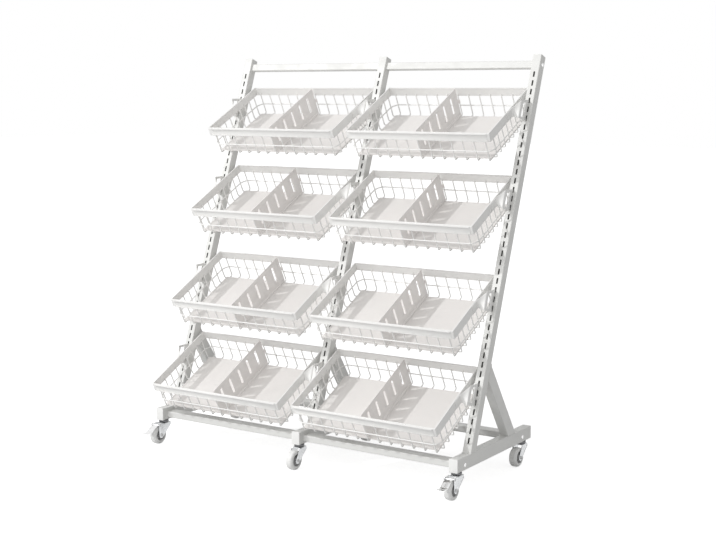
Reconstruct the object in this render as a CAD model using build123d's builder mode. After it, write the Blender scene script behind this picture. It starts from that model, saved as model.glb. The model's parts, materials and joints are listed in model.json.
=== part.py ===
from build123d import *
import os
from math import cos, radians, sin

# Produce display stand: three leaning slotted uprights on castors, carrying two bays of four
# tilted wire baskets. Sizes are millimetres. +Z is up, +Y points to the back and +X to the right
# as seen from the front. The origin is on the floor, in the middle of the width and the depth.

# Side frames
bay_pitch = 690.0  # upright to upright, centre to centre
frame_width = 36.0  # uprights, legs and braces, along X
tube_wall = 2.0
tube_corner = 3.0  # outer corner radius of the tubes
lean_angle = 20.0  # uprights, back from the vertical
upright_depth = 38.0
upright_head = 80.5  # top slot's centre to the top of the cap
leg_height = 50.0
leg_length = 590.0  # over its caps
foot_setback = 98.0  # leg's front end to the upright's front face
brace_depth = 50.0
brace_angle = 34.5  # from the vertical
brace_setback = 134.0  # leg's rear end to the back of the brace, on top of the leg
cap_thickness = 2.0
cap_plug = 12.0
cap_clearance = 0.2

# Slots in the uprights' front walls
slot_length = 22.0
slot_width = 7.0
slot_corner = 1.0
slot_pitch = 35.0
first_slot = 45.5  # leg's top to the lowest slot's centre, along the upright
lowest_tier_slot = 6  # slots counted from 0 at the bottom
tier_steps = (10, 11, 10)  # slots from one tier up to the next, from the lowest tier
slots_above_top_tier = 3

# Rails between the side frames
top_rail_height = 30.0
top_rail_depth = 20.0
base_rail_height = 25.0
base_rail_depth = 50.0
base_rail_drop = 3.5  # leg's middle to the rail's centre
rail_wall = 1.5
rail_end_plate = 4.0
front_rail_setback = 52.0  # leg's front end to the rail's centre
rear_rail_setback = 78.0  # leg's rear end to the rail's centre
top_rail_drop = 37.0  # top of the upright to the rail's centre, along the upright
bolt_diameter = 8.0
bolt_clearance = 0.2
bolt_grip = 12.0  # thread past the rail's end plate
bolt_head_diameter = 14.0
bolt_head_height = 4.0

# Wire baskets, in their own frame: x across, y from the rim's front to its back, z up from its top
basket_tilt = 27.5  # front edge down
basket_gap = 31.5  # upright's centre plane to the side of the rim
basket_depth = 361.0
basket_height = 121.0
rim_height = 35.0
rim_sheet = 2.5
rim_lip = 5.0  # width of the rim's top, folded inwards
wire = 5.0
wire_inset = 1.0  # outer side of the wires behind the outer side of the rim
cross_pitch = 48.0  # between the wires of the front, back and floor that stand side by side along X
depth_pitch = 37.5  # between the wires of the sides and floor that stand side by side along Y
middle_wire_drop = 77.0  # rim's top to the wire along the walls, below it
tag_height = 31.0  # over the two price-tag strips on the front of the rim
tag_depth = 5.0
tag_sheet = 1.0
tag_back = 1.0  # thickness of the plate between the strips
tag_lip = 4.0
tag_end_gap = 12.0  # strip's end to the side of the rim

# Hook brackets, welded to the sides of the rim
bracket_sheet = 2.0
bracket_drop = 1.5  # top edge below the rim's top
bracket_reach = 150.0  # bracket's front edge before the upright's front face, along the rim
bracket_bend = 112.0  # bend where the bracket leaves the rim, before that face, along the rim
bracket_fold = 58.0  # bend that turns into the slots, before that face, square to it
bracket_web = 14.0  # sheet between that bend and the window
bracket_window_edge = 10.0  # sheet above and below the window
bracket_top_fall = 21.0  # of the plate's top edge, from the upright to that bend
bracket_low_fall = 6.0  # of its lower edge
bracket_gap = 1.0  # bracket's end to the upright's front face
bracket_edge = 2.0  # plate's edge to the hooks' slots, above the middle and below the end
hook_drop = 24.0  # rim's top to the upper hook's slot, along the upright
hook_slots = 2  # slots from the lower hook up to the upper one
hook_offset = 1.7  # hook's middle plane to the upright's centre plane
hook_neck = 10.4
hook_lip = 7.6
hook_lip_sheet = 3.0
hook_clearance = 0.3

# Liners and dividers
liner_side_gap = 18.5  # rim's side to the liner's edge
liner_front_gap = 10.0  # rim's front to the liner's edge
liner_back_gap = 30.5  # rim's back to the liner's edge
liner_height = 7.0
liner_sheet = 2.0
divider_sheet = 2.0
divider_rise = 2.0  # top edge above the rim's top
divider_front_gap = 8.0  # rim's front to the divider's end
divider_back_gap = 14.0  # rim's back to the divider's end
divider_foot = 9.0
divider_clearance = 0.3  # foot above the liner
divider_slot_length = 67.0
divider_slot_width = 12.5
divider_slot_pitch = 61.5
divider_slot_setback = 42.5  # divider's front end to the middle of its first slot
divider_slot_count = 5
divider_slot_drop = 49.5  # rim's top to the middle of the slots
lug_length = 5.0
lug_height = 16.0
lug_width = 8.0
lug_drop = 55.0  # rim's top to the middle of the lug

# Castors
castor_height = 95.0
castor_trail = 36.0
front_castor_setback = 25.0  # leg's front end to the swivel axis
rear_castor_setback = 53.0  # leg's rear end to the swivel axis
wheel_diameter = 75.0
wheel_width = 31.0
tread_round = 9.0
tyre_depth = 13.5
web_width = 10.0
hub_diameter = 24.0
hub_clearance = 0.5  # hub to the fork, on each side
wheel_clearance = 1.5  # tyre to the fork, on each side
axle_diameter = 8.0
axle_head_diameter = 14.0
axle_head_height = 4.0
running_clearance = 0.06  # radial, of every turning fit
fork_sheet = 2.5
fork_boss_radius = 13.0
crown_length = 42.0
crown_skirt = 12.0  # height of the fork's sides at its crown
crown_drop = 11.0  # leg's underside to the crown's top
raceway_diameter = 40.0
raceway_clearance = 0.4
spindle_diameter = 10.0
spindle_head_diameter = 18.0
spindle_head_height = 3.0
stem_diameter = 12.0
stem_clearance = 0.2
stem_length = 16.0  # above the leg's underside
nut_across = 19.0
nut_height = 8.0

# Brake pedals, on the outer front castors
pedal_reach = 84.0  # axle to the pedal's tip
pedal_height = 55.0  # floor to the pedal's tip
pedal_width = 30.0
pedal_sheet = 3.0
pedal_tread = 30.0  # length of the flat that is pressed
pedal_pin_gap = 5.7  # tread to the middle of the pedal's pin
pedal_pin_angle = 16.0  # of the pin, in front of the vertical through the axle
pedal_pin_diameter = 5.0
pedal_barrel_diameter = 10.0
pedal_ear_radius = 5.0  # fork's edge round the pin
shoe_gap = 4.3  # brake shoe to the tread when it is off
shoe_width = 16.0
shoe_length = 8.0
shoe_angle = 45.0  # of the shoe, in front of the vertical through the axle

# Worked-out places. Depths are first measured from the leg's front end.
lean = radians(lean_angle)
rise = radians(lean_angle + basket_tilt)  # between a basket's depth and an upright's normal
tilt = radians(basket_tilt)
leg_top = castor_height + leg_height
slot_count = lowest_tier_slot + sum(tier_steps) + slots_above_top_tier + 1
upright_length = first_slot + (slot_count - 1) * slot_pitch + upright_head
rim_half = bay_pitch / 2 - basket_gap
basket_reach = basket_depth * cos(rise) - upright_depth  # rim's front before the upright
rim_at_upright = basket_reach / cos(rise)  # rim's front to the upright, along the rim
floor_top = wire - basket_height  # in the basket's frame
liner_top = floor_top + liner_height
axle_height = wheel_diameter / 2
fork_half = wheel_width / 2 + wheel_clearance
crown_top = castor_height - crown_drop
crown_bottom = crown_top - fork_sheet
pedal_pin_radius = wheel_diameter / 2 + pedal_pin_gap
pedal_pin_y = -castor_trail - pedal_pin_radius * sin(radians(pedal_pin_angle))
pedal_pin_z = axle_height + pedal_pin_radius * cos(radians(pedal_pin_angle))

tier_slots = [lowest_tier_slot + sum(tier_steps[:step]) for step in range(len(tier_steps) + 1)]
tier_slots.reverse()


def slot_at(index):
    """Distance of a slot's centre from the leg's top, along the upright."""
    return first_slot + index * slot_pitch


def rim_front(slot):
    """Depth and height of the rim's front top edge on a basket hung in a slot."""
    along = slot_at(slot) + hook_drop - rim_at_upright * sin(rise)
    depth = foot_setback + along * sin(lean) - basket_reach * cos(lean)
    height = leg_top + along * cos(lean) + basket_reach * sin(lean)
    return depth, height


pedal_tip = front_castor_setback - castor_trail - pedal_reach
tag_front = rim_front(tier_slots[-1])[0] - tag_depth * cos(tilt)
upright_back = foot_setback + upright_length * sin(lean) + upright_depth * cos(lean)
basket_back = (
    rim_front(tier_slots[0])[0]
    + (basket_depth - wire_inset) * cos(tilt)
    + basket_height * sin(tilt)
)
front_most = min(pedal_tip, tag_front)
rear_most = max(upright_back, basket_back)
leg_front = -(front_most + rear_most) / 2
leg_back = leg_front + leg_length

front_castor_y = leg_front + front_castor_setback
rear_castor_y = leg_back - rear_castor_setback
leg_middle = castor_height + leg_height / 2
rail_level = leg_middle - base_rail_drop
front_rail_y = leg_front + front_rail_setback
rear_rail_y = leg_back - rear_rail_setback

side_names = ("left", "middle", "right")
frame_x = {"left": -bay_pitch, "middle": 0.0, "right": bay_pitch}
bay_x = {"left": -bay_pitch / 2, "right": bay_pitch / 2}


def upright_point(along, through):
    """Depth and height, in the stand's frame, of a point of an upright."""
    y = leg_front + foot_setback + along * sin(lean) + through * cos(lean)
    z = leg_top + along * cos(lean) - through * sin(lean)
    return y, z


def span(x0, x1, y0, y1, z0, z1):
    """Add a box between two corners to the part that is being built."""
    with Locations(((x0 + x1) / 2, (y0 + y1) / 2, (z0 + z1) / 2)):
        Box(x1 - x0, y1 - y0, z1 - z0)


def tube_section(width, depth, wall, corner):
    """Draw a hollow rounded rectangle in the sketch that is being drawn."""
    RectangleRounded(width, depth, corner)
    inner_corner = max(corner - wall, wall / 4)
    RectangleRounded(width - 2 * wall, depth - 2 * wall, inner_corner, mode=Mode.SUBTRACT)


top_rail_y, top_rail_z = upright_point(upright_length - top_rail_drop, upright_depth / 2)
bolt_hole_radius = bolt_diameter / 2 + bolt_clearance


# Side frames and rails are built in the middle plane and moved to their places.
def make_upright():
    foot = (0, leg_front + foot_setback, leg_top)
    along = Plane(origin=foot, x_dir=(1, 0, 0), z_dir=(0, sin(lean), cos(lean)))
    front = Plane(origin=foot, x_dir=(1, 0, 0), z_dir=(0, -cos(lean), sin(lean)))
    with BuildPart() as upright:
        with BuildSketch(along):
            with Locations((0, upright_depth / 2)):
                tube_section(frame_width, upright_depth, tube_wall, tube_corner)
        extrude(amount=upright_length - cap_thickness)
        split(bisect_by=Plane.XY.offset(leg_top), keep=Keep.TOP)
        with BuildSketch(front):
            with Locations(*[(0, slot_at(index)) for index in range(slot_count)]):
                RectangleRounded(slot_width, slot_length, slot_corner)
        extrude(amount=-upright_depth / 2, mode=Mode.SUBTRACT)
        with BuildSketch(Plane.YZ.offset(-frame_width)):
            with Locations((top_rail_y, top_rail_z)):
                Circle(bolt_hole_radius)
        extrude(amount=2 * frame_width, mode=Mode.SUBTRACT)
    return upright.part


def make_leg():
    front = Plane(origin=(0, leg_front + cap_thickness, leg_middle), x_dir=(1, 0, 0), z_dir=(0, 1, 0))
    with BuildPart() as leg:
        with BuildSketch(front):
            tube_section(frame_width, leg_height, tube_wall, tube_corner)
        extrude(amount=leg_length - 2 * cap_thickness)
        with BuildSketch(Plane.YZ.offset(-frame_width)):
            with Locations((front_rail_y, rail_level), (rear_rail_y, rail_level)):
                Circle(bolt_hole_radius)
        extrude(amount=2 * frame_width, mode=Mode.SUBTRACT)
        with BuildSketch(Plane.XY.offset(castor_height)):
            with Locations((0, front_castor_y), (0, rear_castor_y)):
                Circle(stem_diameter / 2 + stem_clearance)
        extrude(amount=leg_height / 2, mode=Mode.SUBTRACT)
    return leg.part


def make_brace():
    slope = radians(brace_angle)
    foot = (0, leg_back - brace_setback, leg_top)
    along = Plane(origin=foot, x_dir=(1, 0, 0), z_dir=(0, -sin(slope), cos(slope)))
    back_y, back_z = upright_point(0, upright_depth)
    upright_back_face = Plane(origin=(0, back_y, back_z), z_dir=(0, cos(lean), -sin(lean)))
    with BuildPart() as brace:
        with BuildSketch(along):
            with Locations((0, -brace_depth / 2)):
                tube_section(frame_width, brace_depth, tube_wall, tube_corner)
        extrude(amount=leg_length)
        split(bisect_by=Plane.XY.offset(leg_top), keep=Keep.TOP)
        split(bisect_by=upright_back_face, keep=Keep.TOP)
    return brace.part


def make_rail(place, section, through=(0, 1, 0)):
    """A rail between two frames: its centre's depth and level, and its section's depth and height.

    The section's depth lies along the direction through.
    """
    depth, level = place
    section_depth, section_height = section
    length = bay_pitch - frame_width
    end = Plane(origin=(-length / 2, depth, level), x_dir=through, z_dir=(1, 0, 0))
    with BuildPart() as rail:
        with BuildSketch(end):
            RectangleRounded(section_depth, section_height, tube_corner)
        extrude(amount=length)
        with BuildSketch(end.offset(rail_end_plate)):
            inner_corner = max(tube_corner - rail_wall, rail_wall / 4)
            RectangleRounded(
                section_depth - 2 * rail_wall, section_height - 2 * rail_wall, inner_corner
            )
        extrude(amount=length - 2 * rail_end_plate, mode=Mode.SUBTRACT)
        with BuildSketch(end):
            Circle(bolt_hole_radius)
        extrude(amount=length, mode=Mode.SUBTRACT)
    return rail.part


def make_cap(plane, depth):
    """A cap on a tube's end: plane lies on the tube's end, with z pointing out of it."""
    with BuildPart() as cap:
        with BuildSketch(plane):
            RectangleRounded(frame_width, depth, tube_corner)
        extrude(amount=cap_thickness)
        inset = tube_wall + cap_clearance
        with BuildSketch(plane):
            RectangleRounded(frame_width - 2 * inset, depth - 2 * inset, tube_corner / 3)
        extrude(amount=-cap_plug)
    return cap.part


def make_caps():
    caps = []
    top_y, top_z = upright_point(upright_length - cap_thickness, upright_depth / 2)
    for side in side_names:
        x = frame_x[side]
        top = Plane(origin=(x, top_y, top_z), x_dir=(1, 0, 0), z_dir=(0, sin(lean), cos(lean)))
        caps.append(make_cap(top, upright_depth))
        front_end = (x, leg_front + cap_thickness, leg_middle)
        caps.append(make_cap(Plane(origin=front_end, x_dir=(1, 0, 0), z_dir=(0, -1, 0)), leg_height))
        back_end = (x, leg_back - cap_thickness, leg_middle)
        caps.append(make_cap(Plane(origin=back_end, x_dir=(1, 0, 0), z_dir=(0, 1, 0)), leg_height))
    return Compound(children=caps)


def make_bolt(x, y, z, outward):
    """A button-head bolt through the outer frame into a rail; outward is its head's side along X."""
    seat = Plane(origin=(x, y, z), z_dir=(outward, 0, 0))
    with BuildPart() as bolt:
        with BuildSketch(seat):
            Circle(bolt_diameter / 2)
        extrude(amount=-(frame_width + rail_end_plate + bolt_grip))
        with BuildSketch(seat):
            Circle(bolt_head_diameter / 2)
        extrude(amount=bolt_head_height)
        rim_edge = bolt.edges().filter_by(GeomType.CIRCLE).sort_by(Axis.X)
        fillet(rim_edge[-1 if outward > 0 else 0], bolt_head_height * 0.6)
    return bolt.part


def make_stud(y, z):
    """A stud through the middle frame that ties the rails of both bays."""
    half = frame_width / 2 + rail_end_plate + bolt_grip
    with BuildPart() as stud:
        with BuildSketch(Plane.YZ.offset(-half)):
            with Locations((y, z)):
                Circle(bolt_diameter / 2)
        extrude(amount=2 * half)
    return stud.part


def make_bolts():
    bolts = []
    outer = bay_pitch + frame_width / 2
    for y, z in ((top_rail_y, top_rail_z), (front_rail_y, rail_level), (rear_rail_y, rail_level)):
        bolts.append(make_bolt(-outer, y, z, -1))
        bolts.append(make_stud(y, z))
        bolts.append(make_bolt(outer, y, z, 1))
    return Compound(children=bolts)


# Castors are built about their swivel axis, with the floor at height 0 and the wheel in front.
def make_stem():
    raceway_bottom = crown_top + raceway_clearance
    head_top = crown_bottom - raceway_clearance
    with BuildPart() as stem:
        with BuildSketch(Plane.XY.offset(head_top - spindle_head_height)):
            Circle(spindle_head_diameter / 2)
        extrude(amount=spindle_head_height)
        with BuildSketch(Plane.XY.offset(head_top)):
            Circle(spindle_diameter / 2)
        extrude(amount=raceway_bottom - head_top)
        with BuildSketch(Plane.XY.offset(raceway_bottom)):
            Circle(raceway_diameter / 2)
        extrude(amount=castor_height - raceway_bottom)
        with BuildSketch(Plane.XY.offset(castor_height)):
            Circle(stem_diameter / 2)
        extrude(amount=stem_length)
    return stem.part


def make_stem_nut():
    with BuildPart() as nut:
        with BuildSketch(Plane.XY.offset(castor_height + tube_wall)):
            RegularPolygon(nut_across / 2, 6, major_radius=False)
            Circle(stem_diameter / 2 + stem_clearance, mode=Mode.SUBTRACT)
        extrude(amount=nut_height)
    return nut.part


def make_fork(braked):
    with BuildPart() as fork:
        with BuildSketch(Plane.YZ.offset(-fork_half - fork_sheet)):
            with Locations((-castor_trail, axle_height)):
                Circle(fork_boss_radius)
            with Locations((0, crown_top - crown_skirt / 2)):
                Rectangle(crown_length, crown_skirt)
            if braked:
                with Locations((pedal_pin_y, pedal_pin_z)):
                    Circle(pedal_ear_radius)
            make_hull()
        extrude(amount=fork_sheet)
        mirror(about=Plane.YZ)
        half = crown_length / 2
        span(-fork_half, fork_half, -half, half, crown_bottom, crown_top)
        crown = Plane.XY.offset(crown_bottom)
        with BuildSketch(crown):
            Circle(spindle_diameter / 2 + running_clearance)
        extrude(amount=fork_sheet, mode=Mode.SUBTRACT)
        with BuildSketch(Plane.YZ.offset(-2 * fork_half)):
            with Locations((-castor_trail, axle_height)):
                Circle(axle_diameter / 2 + running_clearance)
            if braked:
                with Locations((pedal_pin_y, pedal_pin_z)):
                    Circle(pedal_pin_diameter / 2 + running_clearance)
        extrude(amount=4 * fork_half, mode=Mode.SUBTRACT)
    return fork.part


def make_cross_pin(y, z, diameter, head_diameter, head_height):
    """A pin across the fork, with a head on each side of it."""
    outside = fork_half + fork_sheet
    with BuildPart() as pin:
        with BuildSketch(Plane.YZ.offset(-outside)):
            with Locations((y, z)):
                Circle(diameter / 2)
        extrude(amount=2 * outside)
        with BuildSketch(Plane.YZ.offset(outside)):
            with Locations((y, z)):
                Circle(head_diameter / 2)
        extrude(amount=head_height)
        with BuildSketch(Plane.YZ.offset(-outside)):
            with Locations((y, z)):
                Circle(head_diameter / 2)
        extrude(amount=-head_height)
    return pin.part


def make_wheel():
    axle = Plane(origin=(0, -castor_trail, axle_height), x_dir=(1, 0, 0), z_dir=(0, -1, 0))
    bore = axle_diameter / 2 + running_clearance
    rim_radius = wheel_diameter / 2 - tyre_depth
    with BuildPart() as wheel:
        with BuildSketch(axle):
            with Locations((0, wheel_diameter / 2 - tyre_depth / 2)):
                Rectangle(wheel_width, tyre_depth)
            tread = wheel_diameter / 2
            outer = [v for v in vertices() if v.Z > axle_height + tread - 0.1]
            fillet(outer, min(tread_round, wheel_width / 2.2, tyre_depth / 1.2))
            with Locations((0, (bore + rim_radius) / 2)):
                Rectangle(web_width, rim_radius - bore)
            with Locations((0, (bore + hub_diameter / 2) / 2)):
                Rectangle(2 * (fork_half - hub_clearance), hub_diameter / 2 - bore)
        revolve(axis=Axis((0, -castor_trail, axle_height), (1, 0, 0)))
    return wheel.part


def make_pedal():
    tip_y = -castor_trail - pedal_reach
    half = pedal_width / 2
    shoe = radians(shoe_angle)
    shoe_radius = wheel_diameter / 2 + shoe_gap
    bend = (tip_y + pedal_tread, pedal_height)
    knee_radius = shoe_radius + 2 * pedal_sheet
    knee = (-castor_trail - knee_radius * sin(shoe), axle_height + knee_radius * cos(shoe))
    with BuildPart() as pedal:
        with BuildSketch(Plane.YZ.offset(-half)):
            with BuildLine():
                Polyline((pedal_pin_y, pedal_pin_z), knee, bend, (tip_y, pedal_height))
            trace(line_width=pedal_sheet)
            with Locations((pedal_pin_y, pedal_pin_z)):
                Circle(pedal_barrel_diameter / 2)
        extrude(amount=pedal_width)
        shoe_plane = Plane(
            origin=(0, -castor_trail - shoe_radius * sin(shoe), axle_height + shoe_radius * cos(shoe)),
            x_dir=(1, 0, 0),
            z_dir=(0, -sin(shoe), cos(shoe)),
        )
        with BuildSketch(shoe_plane):
            Rectangle(shoe_width, shoe_length)
        extrude(amount=2 * pedal_sheet)
        with BuildSketch(Plane.YZ.offset(-half)):
            with Locations((pedal_pin_y, pedal_pin_z)):
                Circle(pedal_pin_diameter / 2 + running_clearance)
        extrude(amount=pedal_width, mode=Mode.SUBTRACT)
    return pedal.part


# Basket pieces are built in the basket's own frame.
def make_rim_front():
    with BuildPart() as bar:
        span(-rim_half, rim_half, 0, rim_sheet, -rim_height, 0)
        span(-rim_half, rim_half, 0, rim_lip, -rim_sheet, 0)
    return bar.part


def make_rim_side():
    with BuildPart() as bar:
        inside = rim_half - rim_sheet
        span(inside, rim_half, rim_sheet, basket_depth - rim_sheet, -rim_height, -rim_sheet)
        span(rim_half - rim_lip, rim_half, rim_lip, basket_depth - rim_lip, -rim_sheet, 0)
    return bar.part


def make_tag_strip():
    """The upper of the two lipped strips that hold a price card against the rim."""
    top = (tag_height - rim_height) / 2
    length = 2 * (rim_half - tag_end_gap)
    with BuildPart() as strip:
        with BuildSketch(Plane.YZ.offset(-length / 2)):
            half = tag_sheet / 2
            with BuildLine():
                Polyline(
                    (0, top - half),
                    (half - tag_depth, top - half),
                    (half - tag_depth, top - tag_lip),
                )
            trace(line_width=tag_sheet)
        extrude(amount=length)
    return strip.part


def make_tag_back():
    half = rim_half - tag_end_gap
    low = -(rim_height + tag_height) / 2 + tag_sheet
    with BuildPart() as plate:
        span(-half, half, -tag_back, 0, low, low + tag_height - 2 * tag_sheet)
    return plate.part


def wire_places(length, pitch):
    """Places of evenly pitched wires, centred on a length and clear of its ends."""
    count = int((length / 2 - wire) / pitch)
    return [step * pitch for step in range(-count, count + 1)]


wire_half = rim_half - wire_inset  # outer side of the wires, from the basket's middle
wall_rows = (rim_height + wire / 2, middle_wire_drop, -floor_top - wire / 2)


def draw_wall_net(length, with_ends):
    """Draw a wall's wires: upright ones from the rim to the floor and three along the wall."""
    wall_top = rim_height
    wall_low = -floor_top
    places = wire_places(length, cross_pitch if with_ends else depth_pitch)
    if with_ends:
        places += [wire / 2 - length / 2, length / 2 - wire / 2]
    with Locations(*[(place, (wall_top + wall_low) / 2) for place in places]):
        Rectangle(wire, wall_low - wall_top)
    with Locations(*[(0, row) for row in wall_rows]):
        Rectangle(length, wire)


def make_front_net():
    outside = Plane(origin=(0, wire_inset, 0), x_dir=(1, 0, 0), z_dir=(0, 1, 0))
    with BuildPart() as net:
        with BuildSketch(outside):
            draw_wall_net(2 * wire_half, True)
        extrude(amount=wire)
    return net.part


def make_side_net():
    inside = Plane(
        origin=(wire_half - wire, basket_depth / 2, 0), x_dir=(0, -1, 0), z_dir=(1, 0, 0)
    )
    with BuildPart() as net:
        with BuildSketch(inside):
            draw_wall_net(basket_depth - 2 * (wire_inset + wire), False)
        extrude(amount=wire)
    return net.part


def make_floor_net():
    depth = basket_depth - 2 * wire_inset
    across = wire_places(2 * wire_half, cross_pitch) + [wire / 2 - wire_half, wire_half - wire / 2]
    along = wire_places(depth - 2 * wire, depth_pitch) + [wire / 2 - depth / 2, depth / 2 - wire / 2]
    under = Plane(origin=(0, basket_depth / 2, -basket_height))
    with BuildPart() as net:
        with BuildSketch(under):
            with Locations(*[(place, 0) for place in across]):
                Rectangle(wire, depth)
            with Locations(*[(0, place) for place in along]):
                Rectangle(2 * wire_half, wire)
        extrude(amount=wire)
    return net.part


def make_bracket():
    """The right bracket: a tab on the rim, a face out to the slots and a plate with two hooks."""
    hook_x = bay_pitch / 2 - hook_offset
    lower_hook = hook_drop + hook_slots * slot_pitch
    front_edge = rim_at_upright - bracket_reach
    bend = rim_at_upright - bracket_bend
    tab_top, tab_low = -bracket_drop, bracket_drop - rim_height
    window_front = bracket_web - bracket_fold
    window_back = window_front / 2

    def beside(through, drop):
        """Depth and height of a point square to the upright's front face and down along it."""
        y = rim_at_upright + through * cos(rise) - drop * sin(rise)
        return y, -through * sin(rise) - drop * cos(rise)

    def fall(through):
        """Share of the plate's falls at a distance from the upright's front face."""
        return (through + bracket_gap) / (bracket_gap - bracket_fold)

    def high(through, inside=0):
        """A point on the plate's top edge, or inside it."""
        edge = hook_drop - bracket_edge + bracket_top_fall * fall(through)
        return beside(through, edge + inside)

    def low(through, inside=0):
        """A point on the plate's lower edge, or inside it."""
        edge = lower_hook + slot_length / 2 + bracket_edge + bracket_low_fall * fall(through)
        return beside(through, edge - inside)

    plate = Plane.YZ.offset(hook_x - bracket_sheet / 2)
    with BuildPart() as bracket:
        span(rim_half, rim_half + bracket_sheet, front_edge, bend, tab_low, tab_top)
        with BuildSketch(Plane.YZ.offset(rim_half)):
            with BuildLine():
                Polyline(
                    (bend - bracket_sheet, tab_top),
                    (bend, tab_top),
                    (bend, tab_low),
                    (bend - bracket_sheet, tab_low),
                    close=True,
                )
            make_face()
        with BuildSketch(plate):
            with BuildLine():
                Polyline(
                    high(-bracket_fold),
                    high(bracket_sheet - bracket_fold),
                    low(bracket_sheet - bracket_fold),
                    low(-bracket_fold),
                    close=True,
                )
            make_face()
        loft(ruled=True)
        with BuildSketch(plate):
            with BuildLine():
                Polyline(
                    high(-bracket_fold),
                    high(-bracket_gap),
                    low(-bracket_gap),
                    low(-bracket_fold),
                    close=True,
                )
            make_face()
            with BuildLine():
                Polyline(
                    high(window_front, bracket_window_edge),
                    high(window_back, bracket_window_edge),
                    low(window_back, bracket_window_edge),
                    low(window_front, bracket_window_edge),
                    close=True,
                )
            make_face(mode=Mode.SUBTRACT)
        extrude(amount=bracket_sheet)
        root = -bracket_gap - bracket_sheet
        lip_near = tube_wall + hook_clearance
        lip_far = lip_near + hook_lip_sheet
        for drop in (hook_drop, lower_hook):
            slot_end = drop + slot_length / 2
            neck_low = slot_end - hook_clearance
            with BuildSketch(plate):
                with BuildLine():
                    Polyline(
                        beside(root, neck_low - hook_neck),
                        beside(lip_far, neck_low - hook_neck),
                        beside(lip_far, slot_end + hook_lip),
                        beside(lip_near, slot_end + hook_lip),
                        beside(lip_near, neck_low),
                        beside(root, neck_low),
                        close=True,
                    )
                make_face()
            extrude(amount=bracket_sheet)
    return bracket.part


def make_basket():
    """The welded basket: rim bars, tag holder, wire walls and floor, and two brackets."""
    middle = Plane.XZ.offset(-basket_depth / 2)
    rim_middle = Plane.XY.offset(-rim_height / 2)
    rim_bar, rim_side, strip = make_rim_front(), make_rim_side(), make_tag_strip()
    front_net, side_net, bracket = make_front_net(), make_side_net(), make_bracket()
    pieces = [rim_bar, rim_bar.mirror(middle), rim_side, rim_side.mirror(Plane.YZ)]
    pieces += [front_net, front_net.mirror(middle), side_net, side_net.mirror(Plane.YZ)]
    pieces += [make_floor_net(), make_tag_back(), strip, strip.mirror(rim_middle)]
    pieces += [bracket, bracket.mirror(Plane.YZ)]
    return pieces


def make_liner():
    half = rim_half - liner_side_gap
    front, back = liner_front_gap, basket_depth - liner_back_gap
    with BuildPart() as liner:
        span(-half, half, front, back, floor_top, liner_top)
        edge = liner_sheet
        with Locations((0, (front + back) / 2, (floor_top + liner_top - liner_sheet) / 2)):
            Box(
                2 * (half - edge),
                back - front - 2 * edge,
                liner_height - liner_sheet,
                mode=Mode.SUBTRACT,
            )
    return liner.part


def make_divider():
    half = divider_sheet / 2
    low = liner_top + divider_clearance
    front = divider_front_gap
    back = basket_depth - divider_back_gap
    with BuildPart() as divider:
        span(-half, half, front, back, low, divider_rise)
        span(0, divider_foot, front, back, low, low + divider_sheet)
        lug_back = back + lug_length
        lug_low = -lug_drop - lug_height / 2
        lug_top = lug_low + lug_height
        span(-half, half, back - lug_length, lug_back, lug_low, lug_top)
        span(0, lug_width, lug_back - divider_sheet, lug_back, lug_low, lug_top)
        first = front + divider_slot_setback
        with BuildSketch(Plane.YZ.offset(-divider_sheet)):
            for slot in range(divider_slot_count):
                with Locations((first + slot * divider_slot_pitch, -divider_slot_drop)):
                    SlotOverall(divider_slot_length, divider_slot_width, rotation=90)
        extrude(amount=2 * divider_sheet, mode=Mode.SUBTRACT)
    return divider.part


def write(shape, name):
    shape.label = name
    export_step(shape, f"parts/{name}.step")


os.makedirs("parts", exist_ok=True)

upright, leg, brace = make_upright(), make_leg(), make_brace()
for side in side_names:
    place = Location((frame_x[side], 0, 0))
    write(upright.moved(place), f"upright_{side}")
    write(leg.moved(place), f"base_leg_{side}")
    write(brace.moved(place), f"rear_brace_{side}")

top_section = (top_rail_depth, top_rail_height)
top_rail = make_rail((top_rail_y, top_rail_z), top_section, through=(0, cos(lean), -sin(lean)))
base_section = (base_rail_depth, base_rail_height)
front_rail = make_rail((front_rail_y, rail_level), base_section)
rear_rail = make_rail((rear_rail_y, rail_level), base_section)
for bay in bay_x:
    place = Location((bay_x[bay], 0, 0))
    write(top_rail.moved(place), f"top_rail_{bay}")
    write(front_rail.moved(place), f"front_rail_{bay}")
    write(rear_rail.moved(place), f"rear_rail_{bay}")

write(make_caps(), "tube_end_caps")
write(make_bolts(), "rail_bolts")

stem, nut, wheel, pedal = make_stem(), make_stem_nut(), make_wheel(), make_pedal()
axle = make_cross_pin(
    -castor_trail, axle_height, axle_diameter, axle_head_diameter, axle_head_height
)
pedal_pin = make_cross_pin(
    pedal_pin_y, pedal_pin_z, pedal_pin_diameter, pedal_barrel_diameter, fork_sheet
)
forks = {True: make_fork(True), False: make_fork(False)}
stems = []
for end, castor_y in (("front", front_castor_y), ("rear", rear_castor_y)):
    for side in side_names:
        place = Location((frame_x[side], castor_y, 0))
        braked = end == "front" and side != "middle"
        pins = [axle, pedal_pin] if braked else [axle]
        fork = Compound(children=[piece.moved(place) for piece in [forks[braked]] + pins])
        write(fork, f"castor_fork_{end}_{side}")
        write(wheel.moved(place), f"castor_wheel_{end}_{side}")
        if braked:
            write(pedal.moved(place), f"brake_pedal_{side}")
        stems += [stem.moved(place), nut.moved(place)]
write(Compound(children=stems), "castor_stems")

basket, liner, divider = make_basket(), make_liner(), make_divider()
for bay in bay_x:
    for tier, slot in enumerate(tier_slots, start=1):
        depth, height = rim_front(slot)
        place = Plane(
            origin=(bay_x[bay], leg_front + depth, height),
            x_dir=(1, 0, 0),
            z_dir=(0, -sin(tilt), cos(tilt)),
        ).location
        welded = Compound(children=[piece.moved(place) for piece in basket])
        write(welded, f"basket_{bay}_{tier}")
        write(liner.moved(place), f"liner_{bay}_{tier}")
        write(divider.moved(place), f"divider_{bay}_{tier}")
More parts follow.
